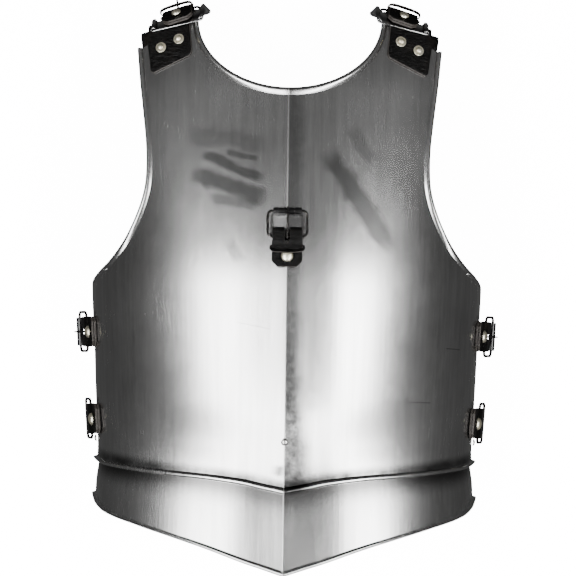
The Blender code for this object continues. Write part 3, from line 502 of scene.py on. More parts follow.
def reflection_and_scratch_stroke(x0, up0, x1, up1, width):
    """A soft stroke between two places, in metres right of the keel and above the waist."""
    turn = math.atan2(up1 - up0, x1 - x0)
    c, n = math.cos(turn), math.sin(turn)
    length = math.dist((x0, up0), (x1, up1))
    along = (across - x0) * c + (up - up0) * n
    beside_it = s.sum("ABSOLUTE", (up - up0) * c - (across - x0) * n + wobble * width * 1.4)
    ends = along.between(-width, width) * (1 - along.between(length - width, length + width))
    return ends * (1 - beside_it.between(width * 0.35, width * 1.25))


# Painted reflections: dark strokes high on the left and a long one on the right; then small spots
# and scratches: start and end, width, and how much of the light they take
REFLECTIONS_AND_SCRATCHES = [
    (-0.092, 0.342, -0.026, 0.336, 0.0110, 0.26), (-0.081, 0.324, -0.026, 0.302, 0.0052, 0.58),
    (-0.089, 0.304, -0.023, 0.284, 0.0088, 0.62), (-0.073, 0.282, -0.030, 0.277, 0.0060, 0.42),
    (-0.059, 0.326, -0.030, 0.320, 0.0034, 0.45), (0.040, 0.324, 0.097, 0.238, 0.0105, 0.58),
    (0.061, 0.350, 0.078, 0.319, 0.0075, 0.28), (-0.057, 0.241, -0.044, 0.223, 0.0070, 0.35),
    (-0.009, 0.024, 0.000, 0.022, 0.0060, 0.80), (-0.047, 0.164, -0.016, 0.158, 0.0005, 0.35),
    (0.094, 0.090, 0.139, 0.089, 0.0005, 0.40), (0.115, 0.093, 0.117, 0.092, 0.0012, 0.50),
    (0.154, 0.141, 0.167, 0.140, 0.0006, 0.40),
]
# The painted reflections, the spots and the scratches darken the base colour
unmarked = 1.0
for x0, up0, x1, up1, width, depth in REFLECTIONS_AND_SCRATCHES:
    unmarked = unmarked * (1 - reflection_and_scratch_stroke(x0, up0, x1, up1, width) * depth)
# Painted shade: the right flank of the keel is darkened in a strip that widens toward the waist
strip_width = 0.0150 + (1 - up.between(0.01, 0.12)) * 0.0120 + wobble * 0.008
painted_keel_shade = across.between(0.0002, 0.0012) * (1 - (across / strip_width).between(0.45, 1.25))
painted_keel_shade = painted_keel_shade * (0.50 + (1 - up.between(0.08, 0.30)) * 0.50) * (0.88 + (mottle - 0.5) * 0.60)
painted_keel_shade = painted_keel_shade * (0.15 + from_waist.between(-0.004, 0.001) * 0.85)
# Painted shade in the crease over the waist edge and on the lame close below it, under the lip
crease = from_waist.between(0.0030, 0.0052) * (1 - from_waist.between(0.0070, 0.0170))
shelter = from_waist.between(-0.0340, -0.0010) * (1 - from_waist.between(-0.0006, 0.0))
painted_waist_shade = crease * 0.72 + shelter * 0.82 + wobble * crease * 0.8
# Painted highlight: a thin bright line along the keel, which is also made a little rougher
painted_keel_highlight = 1 - s.sum("ABSOLUTE", across + 0.0005).between(0.0002, 0.0008)
grey = 0.52 + (brushing - 0.5) * 0.16 + (bands - 0.5) * 0.24 + (clouds - 0.5) * 0.18
grey = grey * unmarked * (1 - painted_keel_shade * 0.97) * (1 - painted_waist_shade) + painted_keel_highlight * 0.15
colour = s.node("CombineColor", Red=grey, Green=grey * 0.995, Blue=grey * 0.985)
feed(colour, shader, "Base Color")
rough = 0.245 + (brushing - 0.5) * 0.16 + (clouds - 0.5) * 0.10 + painted_keel_highlight * 0.10
feed(rough, shader, "Roughness")
bump = s.node("Bump", Height=brushing, Distance=0.00012, Strength=0.12)
feed(bump, shader, "Normal")
for plate in (breastplate, waist_lame):
    plate.data.materials.clear()
    plate.data.materials.append(steel)


# Rivets: pale nickel-plated heads, hammered to low domes. Each goes through its leather and
# the steel, and is set over a flat back head on the inside of the plate.
GAP = 0.0003
LINED_GAP = 0.0006
SHANK = 0.0030
RIM_HEIGHT = 0.0003
BACK_HEAD = (0.0064, 0.0008)


def pick(piece):
    bpy.ops.object.select_all(action="DESELECT")
    piece.select_set(True)
    bpy.context.view_layer.objects.active = piece


def select_where(piece, test):
    """In edit mode, select the points that pass a test."""
    bpy.ops.mesh.select_all(action="DESELECT")
    shape = bmesh.from_edit_mesh(piece.data)
    for point in shape.verts:
        point.select = bool(test(point.co))
    shape.select_flush(True)
    bmesh.update_edit_mesh(piece.data)


def apply_modifiers(piece):
    pick(piece)
    for modifier in list(piece.modifiers):
        bpy.ops.object.modifier_apply(modifier=modifier.name)


def joined(name, pieces):
    pick(pieces[0])
    for piece in pieces[1:]:
        piece.select_set(True)
    bpy.ops.object.join()
    piece = bpy.context.object
    piece.name = name
    return piece


def hang(piece, body, node):
    """Give a piece its body and the CAD node that it stands for."""
    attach(piece, body)
    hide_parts(node)


def hang_metal(piece, body, finish, node):
    piece.data.materials.clear()
    piece.data.materials.append(finish)
    hang(piece, body, node)


def round_edges(piece, width, segments=2, sharper_than=50):
    edge = piece.modifiers.new("rounded_edges", "BEVEL")
    edge.width = width
    edge.segments = segments
    edge.limit_method = "ANGLE"
    edge.angle_limit = math.radians(sharper_than)


def domed_head(diameter, height, up=1):
    """Half a ball, pressed flat about its own middle. Its open edge ends up off the plane, so the
    rim and the face that are meant to close it there are not made."""
    bpy.ops.object.select_all(action="DESELECT")
    bpy.ops.mesh.primitive_uv_sphere_add(segments=28, ring_count=20, radius=diameter / 2)
    head = bpy.context.object
    bpy.ops.object.mode_set(mode="EDIT")
    select_where(head, lambda p: p.z * up < -1e-6)
    bpy.ops.mesh.delete(type="VERT")
    bpy.ops.mesh.select_all(action="SELECT")
    bpy.ops.transform.resize(value=(1, 1, 2 * height / diameter))
    select_where(head, lambda p: abs(p.z) < 1e-6)
    bpy.ops.mesh.extrude_region_move(TRANSFORM_OT_translate={"value": (0, 0, -up * RIM_HEIGHT)})
    bpy.ops.mesh.edge_face_add()
    bpy.ops.object.mode_set(mode="OBJECT")
    return head


def set_rivet(name, place, diameter, dome, grip):
    """A rivet whose head stands over the local XY plane, and whose grip lies below it."""
    head = domed_head(diameter, dome)
    head.data.transform(Matrix.Translation((0, 0, GAP + RIM_HEIGHT)))
    bpy.ops.object.select_all(action="DESELECT")
    bpy.ops.mesh.primitive_cylinder_add(vertices=20, radius=SHANK / 2, depth=grip + LINED_GAP)
    shank = bpy.context.object
    shank.data.transform(Matrix.Translation((0, 0, -(grip + LINED_GAP) / 2)))
    back = domed_head(*BACK_HEAD, -1)
    back.data.transform(Matrix.Translation((0, 0, -grip - LINED_GAP - RIM_HEIGHT)))
    rivet = joined(name, [head, shank, back])
    rivet.data.transform(place)
    smooth(45)
    return rivet


nickel, s, shader = new_finish("nickel", 1.0, 0.24)
place = s.node("TexCoord", output=3)
spots = s.noise(place, 420.0, 3.0)
tarnish = s.noise(place, 130.0, 3.0).between(0.42, 0.68)
feed(s.mix(tarnish * 0.5, (0.84, 0.80, 0.65), (0.52, 0.45, 0.31)), shader, "Base Color")
feed(0.30 + spots * 0.20 + tarnish * 0.12, shader, "Roughness")
feed(s.node("Bump", Height=spots, Distance=0.0001, Strength=0.4), shader, "Normal")


# Places of the fittings. A buckle's own frame has X along its bar, Y from its rivet to its
# roller and Z out of the plate, whose surface lies at Z = 0. It comes from the two pivots.
BAR_REACH = 0.0190
BAR_HEIGHT = 0.0041
STRAIGHT_BEND = 0.0062
pivots = {joint["name"]: joint for joint in frame["joints"]}


def frame_along(origin, x_axis, toward):
    x = Vector(x_axis).normalized()
    y = (toward - x * toward.dot(x)).normalized()
    turn = Matrix((x, y, x.cross(y))).transposed().to_4x4()
    return Matrix.Translation(origin) @ turn


def buckle_places(prefix, bend_at, bend):
    """Frames of the rivet and of the buckle beyond the bend of the leather."""
    hinge, turning_pivot = pivots[prefix + "_tongue_hinge"], pivots[prefix + "_roller_turn"]
    bar, roller = Vector(hinge["pos_m"]), Vector(turning_pivot["pos_m"])
    on_bar = frame_along(bar, hinge["axis"], roller - bar)
    far = on_bar @ Matrix.Translation((0, -BAR_REACH, -BAR_HEIGHT))
    there = Matrix.Translation((0, bend_at, 0))
    near = far @ there @ Matrix.Rotation(-math.radians(bend), 4, "X") @ there.inverted()
    return near, far


BUCKLES = {
    "centre": ("centre_buckle", STRAIGHT_BEND, 0.0, True, STEEL + 0.0010),
    "left_side": ("left_side_buckle", STRAIGHT_BEND, 8.5, False, STEEL),
    "right_side": ("right_side_buckle", STRAIGHT_BEND, 8.5, False, STEEL),
    "left_shoulder": ("left_shoulder_buckle", 0.00714, -40.8, True, 0.0100),
    "right_shoulder": ("right_shoulder_buckle", 0.00714, -40.8, True, 0.0100),
}
LOOPS = {}
for label, side in (("left", -1), ("right", 1)):
    bar = Vector((side * 0.18731, -0.13283, 0.03212))
    out = frame_along(bar, (-0.06896, -side * 0.99753, -side * 0.01331),
                      Vector((side * 0.1896, 0.0, -0.9819)))
    LOOPS[label] = out @ Matrix.Translation((0, -BAR_REACH, -BAR_HEIGHT))


# Folded leathers: a black strap end folded round the bar of each buckle, with its corners cut
# off, a slit for the tongue, and one rivet through both layers.
BUCKLE_RIVET = (0.0118, 0.0036)
SHOULDER_BUCKLE_RIVET = (0.0092, 0.0030)
STRAP_WIDTH = 0.0288
STRAP_THICK = 0.0022
STRAP_CORNER = 0.0050
SLIT_LENGTH = 0.0168
SLIT_WIDTH = 0.0050
BAR_RADIUS = 0.0016
STRAP_END = 0.0098
FOLD_REACH = 0.0286
KEEPER_REACH = 0.0098
KEEPER_THICK = 0.0013
STRAP_COLUMNS = 14

leather, s, shader = new_finish("black_leather", 0.0, 0.42)
place = s.node("TexCoord", output=3)
pores = s.node("TexVoronoi", settings={"feature": "SMOOTH_F1"}, Vector=place, Scale=1150.0)
creases = s.noise(place, 260.0, 5.0, 0.65)
rubbed = s.noise(place, 60.0, 4.0, 0.6).between(0.50, 0.78)
feed(s.mix(rubbed, (0.0016, 0.0015, 0.0014), (0.0080, 0.0066, 0.0055)), shader, "Base Color")
feed(0.24 + creases * 0.22 + rubbed * 0.12, shader, "Roughness")
wrinkles = s.noise(s.stretched(place, (1, 3.2, 1), math.radians(20)), 170.0, 3.0, 0.6)
feed(s.node("Bump", Height=pores * 0.4 + creases + wrinkles * 2.2, Distance=0.0006, Strength=0.7),
     shader, "Normal")
shader.inputs["Specular IOR Level"].default_value = 0.13
shader.inputs["Coat Weight"].default_value = 0.08
shader.inputs["Coat Roughness"].default_value = 0.15

cut_edge, s, shader = new_finish("cut_leather_edge", 0.0, 0.62)
place = s.node("TexCoord", output=3)
fibres = s.noise(place, 900.0, 4.0, 0.7)
layers = s.noise(place, 120.0, 3.0)
feed(s.mix(fibres * 0.7 + layers * 0.3,
           (0.006, 0.005, 0.0045), (0.050, 0.042, 0.036)), shader, "Base Color")
feed(s.node("Bump", Height=fibres, Distance=0.0003, Strength=0.7), shader, "Normal")


def finish_leather(piece, thickness, edge_width, even=True):
    """Wall and worn edges of a leather sheet, whose rim shows the cut edge."""
    wall = piece.modifiers.new("wall", "SOLIDIFY")
    wall.thickness = thickness
    wall.offset = 0.0
    wall.use_even_offset = even
    wall.material_offset_rim = 1
    round_edges(piece, edge_width)
    piece.data.materials.append(leather)
    piece.data.materials.append(cut_edge)
    apply_modifiers(piece)


def strap_line(bend_at, bend, with_keeper):
    """Middle line of the folded leather, from its lower end round the bar to its upper end."""
    half = STRAP_THICK / 2
    radius = BAR_RADIUS + half
    fold_at = FOLD_REACH - BAR_RADIUS - STRAP_THICK
    line = [(-STRAP_END, GAP + half), (bend_at, GAP + half)]
    beyond = []
    for degrees in np.linspace(-90.0, 90.0, 9):
        a = math.radians(degrees)
        beyond.append((fold_at + radius * math.cos(a), BAR_HEIGHT + radius * math.sin(a)))
    beyond.append((BAR_REACH - 0.0055, BAR_HEIGHT + radius))
    low_layer = GAP + STRAP_THICK
    if with_keeper:
        kept = low_layer + 2 * GAP + KEEPER_THICK + half
        beyond += [(KEEPER_REACH + 0.0022, kept), (KEEPER_REACH - 0.0022, kept)]
    else:
        beyond += [(KEEPER_REACH, low_layer + GAP + half)]
    a = math.radians(bend)
    c, n = math.cos(a), math.sin(a)
    for y, z in beyond:
        y -= bend_at
        line.append((bend_at + y * c - z * n, y * n + z * c))
    upper = low_layer + GAP + half
    return line + [(STRAIGHT_BEND, upper), (-STRAP_END, upper)]


def smooth_line(points, spacing, passes):
    """Points at even steps along a line, with its corners eased."""
    points = np.array(points)
    walked = np.concatenate(([0.0], np.cumsum(np.hypot(*np.diff(points, axis=0).T))))
    count = int(walked[-1] / spacing) + 1
    places = np.linspace(0.0, walked[-1], count)
    line = np.column_stack([np.interp(places, walked, points[:, k]) for k in (0, 1)])
    for _ in range(passes):
        line[1:-1] = (line[:-2] + 2 * line[1:-1] + line[2:]) / 4
    return line, places


def folded_leather(name, near, bend_at, bend, with_keeper, with_slit):
    """The right half of the folded strap is laid on its line, then mirrored."""
    line, walked = smooth_line(strap_line(bend_at, bend, with_keeper), 0.0009, 3)
    total = walked[-1]
    # The fold is the furthest point, or the middle where the strap bends down hard
    fold = int(np.argmax(line[:, 0] if bend > -30 else walked * (walked < total / 2)))
    rows, flat = [], []
    for k, (y, z) in enumerate(line):
        end = min(walked[k], total - walked[k])
        outer = STRAP_WIDTH / 2 - max(STRAP_CORNER - end, 0.0)
        outer += 0.0003 * math.sin(walked[k] * 260.0 + bend_at * 900)
        slit = 0.0
        if with_slit:
            deep = SLIT_LENGTH - abs(walked[k] - walked[fold])
            slit = min(max(deep * 0.55, 0.0), SLIT_WIDTH / 2)
        row = [slit + (outer - slit) * c / STRAP_COLUMNS for c in range(STRAP_COLUMNS + 1)]
        upper = 1.0 if k > fold else 0.0
        rows.append([])
        for x in row:
            # The rivet draws the top layer in, and its side edges curl down a little
            pressed = 0.00045 * math.exp(-(x * x + y * y) / 0.0055 ** 2)
            curl = 0.00035 * (x / STRAP_WIDTH * 2) ** 4
            rows[-1].append(Vector((x, y, z - upper * (pressed + curl))))
        flat.append([(x, walked[k]) for x in row])
    strap = formed_sheet(name, rows, flat)
    mirror = strap.modifiers.new("other_half", "MIRROR")
    mirror.merge_threshold = 1e-5
    finish_leather(strap, STRAP_THICK, 0.00035)
    smooth(50)
    strap.data.transform(near)
    return strap


STACK = 2 * STRAP_THICK + 2 * GAP
for prefix, (label, bend_at, bend, with_keeper, grip) in BUCKLES.items():
    near, far = buckle_places(prefix, bend_at, bend)
    strap = folded_leather(label + "_leather", near, bend_at, bend, with_keeper, True)
    hang(strap, "cuirass", label + "_chape")
    above = near @ Matrix.Translation((0, 0, STACK))
    size = SHOULDER_BUCKLE_RIVET if "shoulder" in label else BUCKLE_RIVET
    rivet = set_rivet(label + "_rivet_set", above, *size, STACK + grip)
    hang_metal(rivet, "cuirass", nickel, label + "_rivet")
for label, near in LOOPS.items():
    strap = folded_leather(label + "_side_tab_leather", near, STRAIGHT_BEND, 0.0, False, False)
    hang(strap, "cuirass", label + "_side_tab")
    above = near @ Matrix.Translation((0, 0, STACK))
    rivet = set_rivet(label + "_side_tab_rivet_set", above, *BUCKLE_RIVET, STACK + STEEL)
    hang_metal(rivet, "cuirass", nickel, label + "_side_tab_rivet")


# Keepers: a thin leather loop slipped between the layers, which takes the strap's loose end.
# Its free band sags back over the rivet.
KEEPER_WIDTH = 0.0346
KEEPER_TOP = 0.0115
KEEPER_HALF = (KEEPER_WIDTH - KEEPER_THICK) / 2
KEEPER_LOW = GAP * 2 + STRAP_THICK + KEEPER_THICK / 2
KEEPER_RISE = KEEPER_TOP - KEEPER_LOW
SLACK_OF_SHOULDER_KEEPERS = 0.62
# Half of the loop: share of its half width, share of its rise
KEEPER_SHAPE = [
    (0.00, 0.00), (0.87, 0.00), (0.98, 0.16), (1.00, 0.45), (0.94, 0.78), (0.70, 0.95),
    (0.35, 1.00), (0.00, 1.00),
]


def keeper_loop(name, far, slack):
    """A band round the leather. With less slack it stands less high over it."""
    rise = KEEPER_RISE * slack
    half = [(x * KEEPER_HALF, z * rise) for x, z in KEEPER_SHAPE]
    line, walked = smooth_line(half + [(-x, z) for x, z in half[-2::-1]], 0.0011, 3)
    line[0] = line[-1] = (0.0, 0.0)
    rows, flat = [], []
    for (x, z), run in zip(line, walked):
        share = z / rise
        y = KEEPER_REACH - 0.0060 * share ** 1.4
        band = 0.0015 + 0.0002 * math.sin(run * 400.0)
        lean = 0.0008 * share
        sides = (-1.0, -0.33, 0.33, 1.0)
        rows.append([Vector((x, y - band * c, z + KEEPER_LOW + lean * c)) for c in sides])
        flat.append([(run, c * 0.001) for c in range(4)])
    loop = formed_sheet(name, rows, flat)
    pick(loop)
    bpy.ops.object.mode_set(mode="EDIT")
    bpy.ops.mesh.select_all(action="SELECT")
    bpy.ops.mesh.remove_doubles(threshold=1e-5)
    bpy.ops.object.mode_set(mode="OBJECT")
    finish_leather(loop, KEEPER_THICK, 0.00025, even=False)
    smooth(50)
    loop.data.transform(far)
    return loop


for prefix in ("centre", "left_shoulder", "right_shoulder"):
    label, bend_at, bend, _, _ = BUCKLES[prefix]
    slack = 1.0 if prefix == "centre" else SLACK_OF_SHOULDER_KEEPERS
    loop = keeper_loop(label + "_keeper_loop", buckle_places(prefix, bend_at, bend)[1], slack)
    hang(loop, "cuirass", label + "_keeper")


# Buckles: a rounded frame of dark nickel wire, a black roller that turns on its far side, and
# a wire tongue hooked round its near side. The side loops are the same frames without them.
WIRE = 0.0026
FRAME_WIDTH = 0.0403
FRAME_LENGTH = 0.0275
FRAME_CORNER = 0.0060
ROLLER_REACH = BAR_REACH + FRAME_LENGTH - WIRE
ROLLER_RADIUS = 0.0033
ROLLER_WALL = 0.0017
ROLLER_LENGTH = 0.0272
TONGUE_WIRE = 0.0021
TONGUE_LENGTH = 0.0288
TONGUE_STEPS = 10
RAISED_TONGUE = 45.0

dark_wire, s, shader = new_finish("dark_nickel_wire", 1.0, 0.25)
place = s.node("TexCoord", output=3)
spots = s.noise(place, 500.0, 3.0)
worn = s.noise(place, 160.0, 3.0).between(0.48, 0.72)
feed(s.mix(worn, (0.022, 0.021, 0.020), (0.12, 0.115, 0.11)), shader, "Base Color")
feed(0.18 + spots * 0.2, shader, "Roughness")
feed(s.node("Bump", Height=spots, Distance=0.0001, Strength=0.3), shader, "Normal")

black_roller, s, shader = new_finish("black_lacquered_roller", 0.0, 0.3)
place = s.node("TexCoord", output=3)
chips = s.noise(place, 380.0, 4.0, 0.7).between(0.60, 0.70)
feed(s.mix(chips, (0.0018, 0.0018, 0.0018), (0.040, 0.038, 0.036)), shader, "Base Color")
feed(0.26 + chips * 0.2, shader, "Roughness")
dents = s.noise(place, 300.0, 3.0)
feed(s.node("Bump", Height=dents, Distance=0.0002, Strength=0.3), shader, "Normal")


def wire_along(piece, thickness):
    """Turn a bent line into a round wire."""
    pick(piece)
    bpy.ops.object.convert(target="CURVE")
    curve = bpy.context.object
    curve.data.bevel_depth = thickness / 2
    curve.data.bevel_resolution = 5
    curve.data.use_fill_caps = True
    bpy.ops.object.convert(target="MESH")
    wire = bpy.context.object
    smooth(50)
    return wire


def buckle_frame(name, far):
    middle = BAR_REACH + (FRAME_LENGTH - WIRE) / 2
    bpy.ops.object.select_all(action="DESELECT")
    bpy.ops.mesh.primitive_plane_add(size=1.0)
    line = bpy.context.object
    line.name = name
    bpy.ops.object.mode_set(mode="EDIT")
    bpy.ops.transform.resize(value=(FRAME_WIDTH - WIRE, FRAME_LENGTH - WIRE, 1.0))
    bpy.ops.mesh.delete(type="ONLY_FACE")
    bpy.ops.mesh.select_all(action="SELECT")
    bpy.ops.mesh.bevel(offset=FRAME_CORNER - WIRE / 2, segments=7, affect="VERTICES")
    bpy.ops.object.mode_set(mode="OBJECT")
    line.data.transform(Matrix.Translation((0, middle, BAR_HEIGHT)))
    wire = wire_along(line, WIRE)
    wire.data.transform(far)
    return wire


def roller(name, far):
    bpy.ops.object.select_all(action="DESELECT")
    bpy.ops.mesh.primitive_cylinder_add(vertices=40, radius=ROLLER_RADIUS, depth=ROLLER_LENGTH,
                                        end_fill_type="NOTHING")
    tube = bpy.context.object
    tube.name = name
    wall = tube.modifiers.new("wall", "SOLIDIFY")
    wall.thickness = ROLLER_WALL
    wall.offset = -1.0
    round_edges(tube, 0.0005, 3)
    apply_modifiers(tube)
    smooth(50)
    turn = Matrix.Rotation(math.pi / 2, 4, "Y")
    tube.data.transform(far @ Matrix.Translation((0, ROLLER_REACH, BAR_HEIGHT)) @ turn)
    return tube


def tongue(name, far, lift):
    """A ring round the bar, opened at its top and drawn out into the straight tongue."""
    hook = WIRE / 2 + GAP + TONGUE_WIRE / 2
    rest = ROLLER_RADIUS + GAP + TONGUE_WIRE / 2
    slope = math.asin((rest - hook) / (ROLLER_REACH - BAR_REACH))
    bpy.ops.object.select_all(action="DESELECT")
    bpy.ops.mesh.primitive_circle_add(vertices=32, radius=hook)
    line = bpy.context.object
    line.name = name
    line.data.transform(Matrix.Rotation(math.pi / 2, 4, "Y"))
    bpy.ops.object.mode_set(mode="EDIT")
    select_where(line, lambda p: p.y > 1e-5 and p.z > 1e-5 and p.y < hook - 1e-5)
    bpy.ops.mesh.delete(type="VERT")
    select_where(line, lambda p: abs(p.y) < 1e-5 and p.z > 0)
    for k in range(TONGUE_STEPS):
        sink = -0.00035 if k in (7, 8) else 0.0
        step = (0, TONGUE_LENGTH / TONGUE_STEPS, sink)
        bpy.ops.mesh.extrude_region_move(TRANSFORM_OT_translate={"value": step})
    bpy.ops.object.mode_set(mode="OBJECT")
    wire = wire_along(line, TONGUE_WIRE)
    for vertex in wire.data.vertices:
        thin = min(max((vertex.co.y - 0.018) / 0.011, 0.0), 1.0)
        vertex.co.x *= 1 - 0.35 * thin
    at_bar = Matrix.Translation((0, BAR_REACH, BAR_HEIGHT))
    wire.data.transform(far @ at_bar @ Matrix.Rotation(slope + math.radians(lift), 4, "X"))
    return wire


for prefix, (label, bend_at, bend, _, _) in BUCKLES.items():
    far = buckle_places(prefix, bend_at, bend)[1]
    hang_metal(buckle_frame(label + "_wire_frame", far), "cuirass", dark_wire,
               label + "_frame")
    hang_metal(roller(label + "_black_roller", far), prefix + "_roller", black_roller,
               label + "_roller")
    lift = RAISED_TONGUE if prefix == "left_shoulder" else 0.0
    hang_metal(tongue(label + "_wire_tongue", far, lift), prefix + "_tongue", dark_wire,
               label + "_tongue")
for label, far in LOOPS.items():
    hang_metal(buckle_frame(label + "_side_wire_loop", far), "cuirass", dark_wire,
               label + "_side_loop")


# Lame rivets: three small steel rivets, one in the keel and one at each side, hold the waist
# lame under the plate.
LAME_RIVET = (0.0068, 0.0022)
FRONT_RIVET_HEIGHT = 0.0504
SIDE_RIVET_HEIGHT = 0.0200
SIDE_RIVET_DEPTH = 0.0300
KEEL_SEAT = 0.0010
plain_steel, s, shader = new_finish("rivet_steel", 1.0, 0.3)
place = s.node("TexCoord", output=3)
spots = s.noise(place, 350.0, 4.0, 0.6)
grey = 0.44 + spots * 0.22
feed(s.node("CombineColor", Red=grey, Green=grey * 0.99, Blue=grey * 0.97), shader, "Base Color")
feed(0.2 + spots * 0.25, shader, "Roughness")
feed(s.node("Bump", Height=spots, Distance=0.0001, Strength=0.5), shader, "Normal")


def height_at(girth, y):
    low, high = -0.25, 1.05
    for _ in range(40):
        middle = (low + high) / 2
        low, high = (middle, high) if skin(girth, middle).y < y else (low, middle)
    return (low + high) / 2


def place_on_ridge(y):
    height = y / PLATE_HEIGHT
    normal = skin_normal(0.0, height)
    x = Vector((1, 0, 0))
    turn = Matrix((x, normal.cross(x), normal)).transposed().to_4x4()
    return Matrix.Translation(skin(0.0, height)) @ turn


def place_on_side(side, y, depth):
    low, high = 0.5, 1.0
    for _ in range(40):
        girth = (low + high) / 2
        higher = skin(girth, height_at(girth, y)).z > depth
        low, high = (girth, high) if higher else (low, girth)
    height = height_at(girth, y)
    point, normal = skin(girth, height), skin_normal(girth, height)
    point.x *= side
    normal.x *= side
    x = Vector((0, -side, 0))
    x = (x - normal * x.dot(normal)).normalized()
    turn = Matrix((x, normal.cross(x), normal)).transposed().to_4x4()
    return Matrix.Translation(point) @ turn


lame_rivets = [("lame_centre_rivet", place_on_ridge(FRONT_RIVET_HEIGHT), KEEL_SEAT)]
for label, side in (("left", -1), ("right", 1)):
    spot = place_on_side(side, WAIST_RISE + SIDE_RIVET_HEIGHT + WAIST_Y, SIDE_RIVET_DEPTH)
    lame_rivets.append((f"lame_{label}_rivet", spot, 0.0))
for name, spot, seat in lame_rivets:
    rivet = set_rivet(name + "_set", spot, *LAME_RIVET, 2 * STEEL + LAME_GAP + seat)
    hang_metal(rivet, "cuirass", plain_steel, name)


# Shoulder leathers: a black tab outside and a liner inside the top edge of each shoulder, held
# by two rivets on washers. Both bend over the shoulder under the small steel lame.
TAB_THICK = 0.0025
TAB_INNER = NECK_WIDTH / 2 + 0.0090
TAB_OUTER = TAB_INNER + 0.0395
TAB_REACH = 0.0300
LINER_REACH = 0.0190
LINER_INSET = 0.0035
LINER_OUTSET = 0.0070
LAME_THICK = 0.0012
LAME_TOWARD_NECK = 0.0122
LAME_SHORT_OF_ARM = 0.0050
LAME_OVERHANG = (0.0102, 0.0044)
LAME_ROLL = 0.0019
WASHER = (0.0104, 0.0009)
TAB_RIVET = (0.0062, 0.0021)
TAB_RIVET_SETBACK = 0.0112
INNER_RIVET_INSET = 0.0095
OUTER_RIVET_INSET = 0.0132
SHOULDER_TWIST = 0.0088
HINGE_BEND = 0.0070
LAME_BEND = 0.0140
STUB_LENGTH = 0.0300
SHOULDER_INWARD = 0.17
FRONT_ANGLE = math.radians(45.0)
STUB_ANGLE = math.radians(98.0)


def shoulder_edge(distance):
    outer = float(np.interp(ARMHOLE[-1][1], girth_shares, across_line))
    share = (distance - NECK_WIDTH / 2) / (outer - NECK_WIDTH / 2)
    height = (PLATE_HEIGHT - SHOULDER_DROP * share) / PLATE_HEIGHT
    return girth_of(distance, height), height


edge_normal = skin_normal(*shoulder_edge((TAB_INNER + TAB_OUTER) / 2))
EDGE_ANGLE = math.atan2(edge_normal.y, edge_normal.z)


def beyond_edge(distance, turn, run, lift):
    """Point past the plate's top edge, on the bend over the shoulder."""
    def out(a):
        return Vector((0, math.sin(a), math.cos(a)))

    def along(a):
        return Vector((0, math.cos(a), -math.sin(a)))

    twist = SHOULDER_TWIST * (distance - NECK_WIDTH / 2) / (TAB_OUTER - NECK_WIDTH / 2)
    point = skin(*shoulder_edge(distance)) + along(EDGE_ANGLE) * twist + out(EDGE_ANGLE) * lift
    point += (out(min(turn, FRONT_ANGLE)) - out(EDGE_ANGLE)) * (HINGE_BEND + lift)
    if turn > FRONT_ANGLE:
        point += (out(turn) - out(FRONT_ANGLE)) * (LAME_BEND + lift)
    return point + (along(turn) + Vector((-SHOULDER_INWARD, 0, 0))) * run


def over_shoulder(first, count):
    turns = [(float(turn), 0.0) for turn in np.linspace(first, STUB_ANGLE, count)]
    return turns + [(STUB_ANGLE, STUB_LENGTH * share) for share in np.linspace(0.1, 1.0, 12)]


def shoulder_leather(name, side, inner, outer, reach, lift):
    lift += TAB_THICK / 2
    rows, flat = [], []
    for share in np.linspace(1.0, 0.0, 24):
        row = []
        ease = 0.0022 * max(share - 0.9, 0.0) / 0.1
        for distance in np.linspace(inner + ease, outer - ease, 26):
            height = shoulder_edge(distance)[1] - share * reach / PLATE_HEIGHT
            girth = girth_of(distance * (1 - 0.03 * share), height)
            row.append(raised(girth, height, lift))
        rows.append(row)
    bends = list(np.linspace(EDGE_ANGLE, FRONT_ANGLE, 7)[1:-1])
    stations = [(float(turn), 0.0) for turn in bends] + over_shoulder(FRONT_ANGLE, 10)
    for turn, run in stations:
        rows.append([beyond_edge(d, turn, run, lift) for d in np.linspace(inner, outer, 26)])
    for k, row in enumerate(rows):
        flat.append([(c * 0.0015, k * 0.0015) for c in range(26)])
        for point in row:
            point.x *= side
    return formed_sheet(name, rows, flat)


def shoulder_lame(name, side):
    """The small steel plate over the shoulder, with its two side edges rolled up."""
    inner, outer = TAB_INNER - LAME_TOWARD_NECK, TAB_OUTER - LAME_SHORT_OF_ARM
    middle = 2 * GAP + TAB_THICK + LAME_THICK / 2
    rolled = []
    for degrees in np.linspace(-90.0, 175.0, 12):
        a = math.radians(degrees)
        rolled.append((LAME_ROLL * math.cos(a), middle + LAME_ROLL + LAME_ROLL * math.sin(a)))
    line = [(inner - beyond, lift) for beyond, lift in reversed(rolled)]
    line += [(distance, middle) for distance in np.linspace(inner, outer, 16)[1:-1]]
    line += [(outer + beyond, lift) for beyond, lift in rolled]
    rows, flat = [], []
    # Its front edge lies straight over the bend of the leather, further down beside the neck
    front = [(FRONT_ANGLE, -share) for share in np.linspace(1.0, 0.15, 7)]
    for k, (turn, run) in enumerate(front + over_shoulder(FRONT_ANGLE, 14)):
        row = []
        for distance, lift in line:
            overhang = float(np.interp(distance, (inner, outer), LAME_OVERHANG))
            row.append(beyond_edge(distance, turn, run * overhang if run < 0 else run, lift))
        rows.append([Vector((p.x * side, p.y, p.z)) for p in row])
        flat.append([(c * 0.0013, k * 0.0015) for c in range(len(line))])
    return formed_sheet(name, rows, flat)


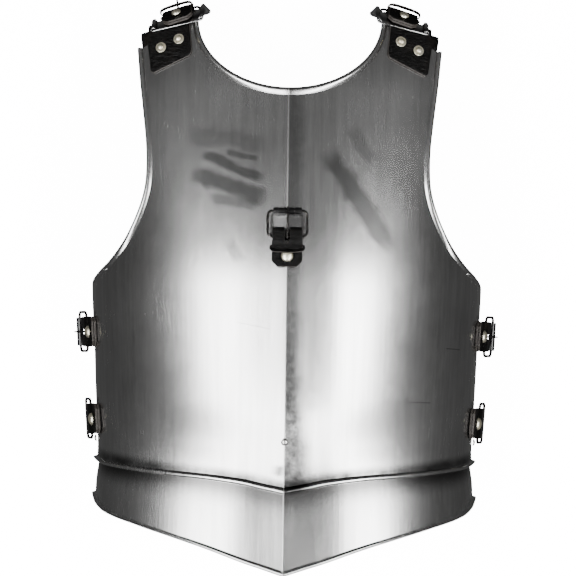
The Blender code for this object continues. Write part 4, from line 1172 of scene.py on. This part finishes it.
for label, side in (("left", -1), ("right", 1)):
    prefix = label + "_shoulder"
    tab = shoulder_leather(prefix + "_tab_leather", side, TAB_INNER, TAB_OUTER, TAB_REACH, GAP)
    inside = -(STEEL + LINED_GAP + TAB_THICK)
    liner = shoulder_leather(prefix + "_liner_leather", side, TAB_INNER + LINER_INSET,
                             TAB_OUTER + LINER_OUTSET, LINER_REACH, inside)
    for piece, node in ((tab, "_tab"), (liner, "_liner")):
        finish_leather(piece, TAB_THICK, 0.0004)
        smooth(45)
        hang(piece, "cuirass", prefix + node)
    small_lame = shoulder_lame(prefix + "_lame_steel", side)
    wall = small_lame.modifiers.new("wall", "SOLIDIFY")
    wall.thickness = LAME_THICK
    wall.offset = 0.0
    wall.use_even_offset = True
    round_edges(small_lame, 0.0003)
    apply_modifiers(small_lame)
    smooth(45)
    hang_metal(small_lame, "cuirass", steel, prefix + "_lame")
    for which, distance in (("inner", TAB_INNER + INNER_RIVET_INSET),
                            ("outer", TAB_OUTER - OUTER_RIVET_INSET)):
        girth, height = shoulder_edge(distance)
        height -= TAB_RIVET_SETBACK / PLATE_HEIGHT
        girth = girth_of(distance, height)
        point, normal = skin(girth, height), skin_normal(girth, height)
        point.x *= side
        normal.x *= side
        x = (Vector((1, 0, 0)) - normal * normal.x).normalized()
        turn = Matrix((x, normal.cross(x), normal)).transposed().to_4x4()
        seat = Matrix.Translation(point) @ turn @ Matrix.Translation((0, 0, 2 * GAP + TAB_THICK))
        bpy.ops.object.select_all(action="DESELECT")
        bpy.ops.mesh.primitive_cylinder_add(vertices=36, radius=WASHER[0] / 2, depth=WASHER[1])
        washer = bpy.context.object
        washer.name = f"{prefix}_{which}_washer_disc"
        bpy.ops.object.mode_set(mode="EDIT")
        select_where(washer, lambda p: p.z > 0)
        bpy.ops.mesh.inset(thickness=0.0008, depth=0.0)
        bpy.ops.transform.resize(value=(0.96, 0.96, 1.0))
        bpy.ops.object.mode_set(mode="OBJECT")
        round_edges(washer, 0.0003, 3, 30)
        apply_modifiers(washer)
        smooth(40)
        washer.data.transform(seat @ Matrix.Translation((0, 0, WASHER[1] / 2)))
        hang_metal(washer, "cuirass", nickel, f"{prefix}_{which}_washer")
        grip = WASHER[1] + 2 * GAP + TAB_THICK + STEEL + LINED_GAP + TAB_THICK
        head = seat @ Matrix.Translation((0, 0, WASHER[1]))
        rivet = set_rivet(f"{prefix}_{which}_rivet_set", head, *TAB_RIVET, grip)
        hang_metal(rivet, "cuirass", nickel, f"{prefix}_{which}_rivet")
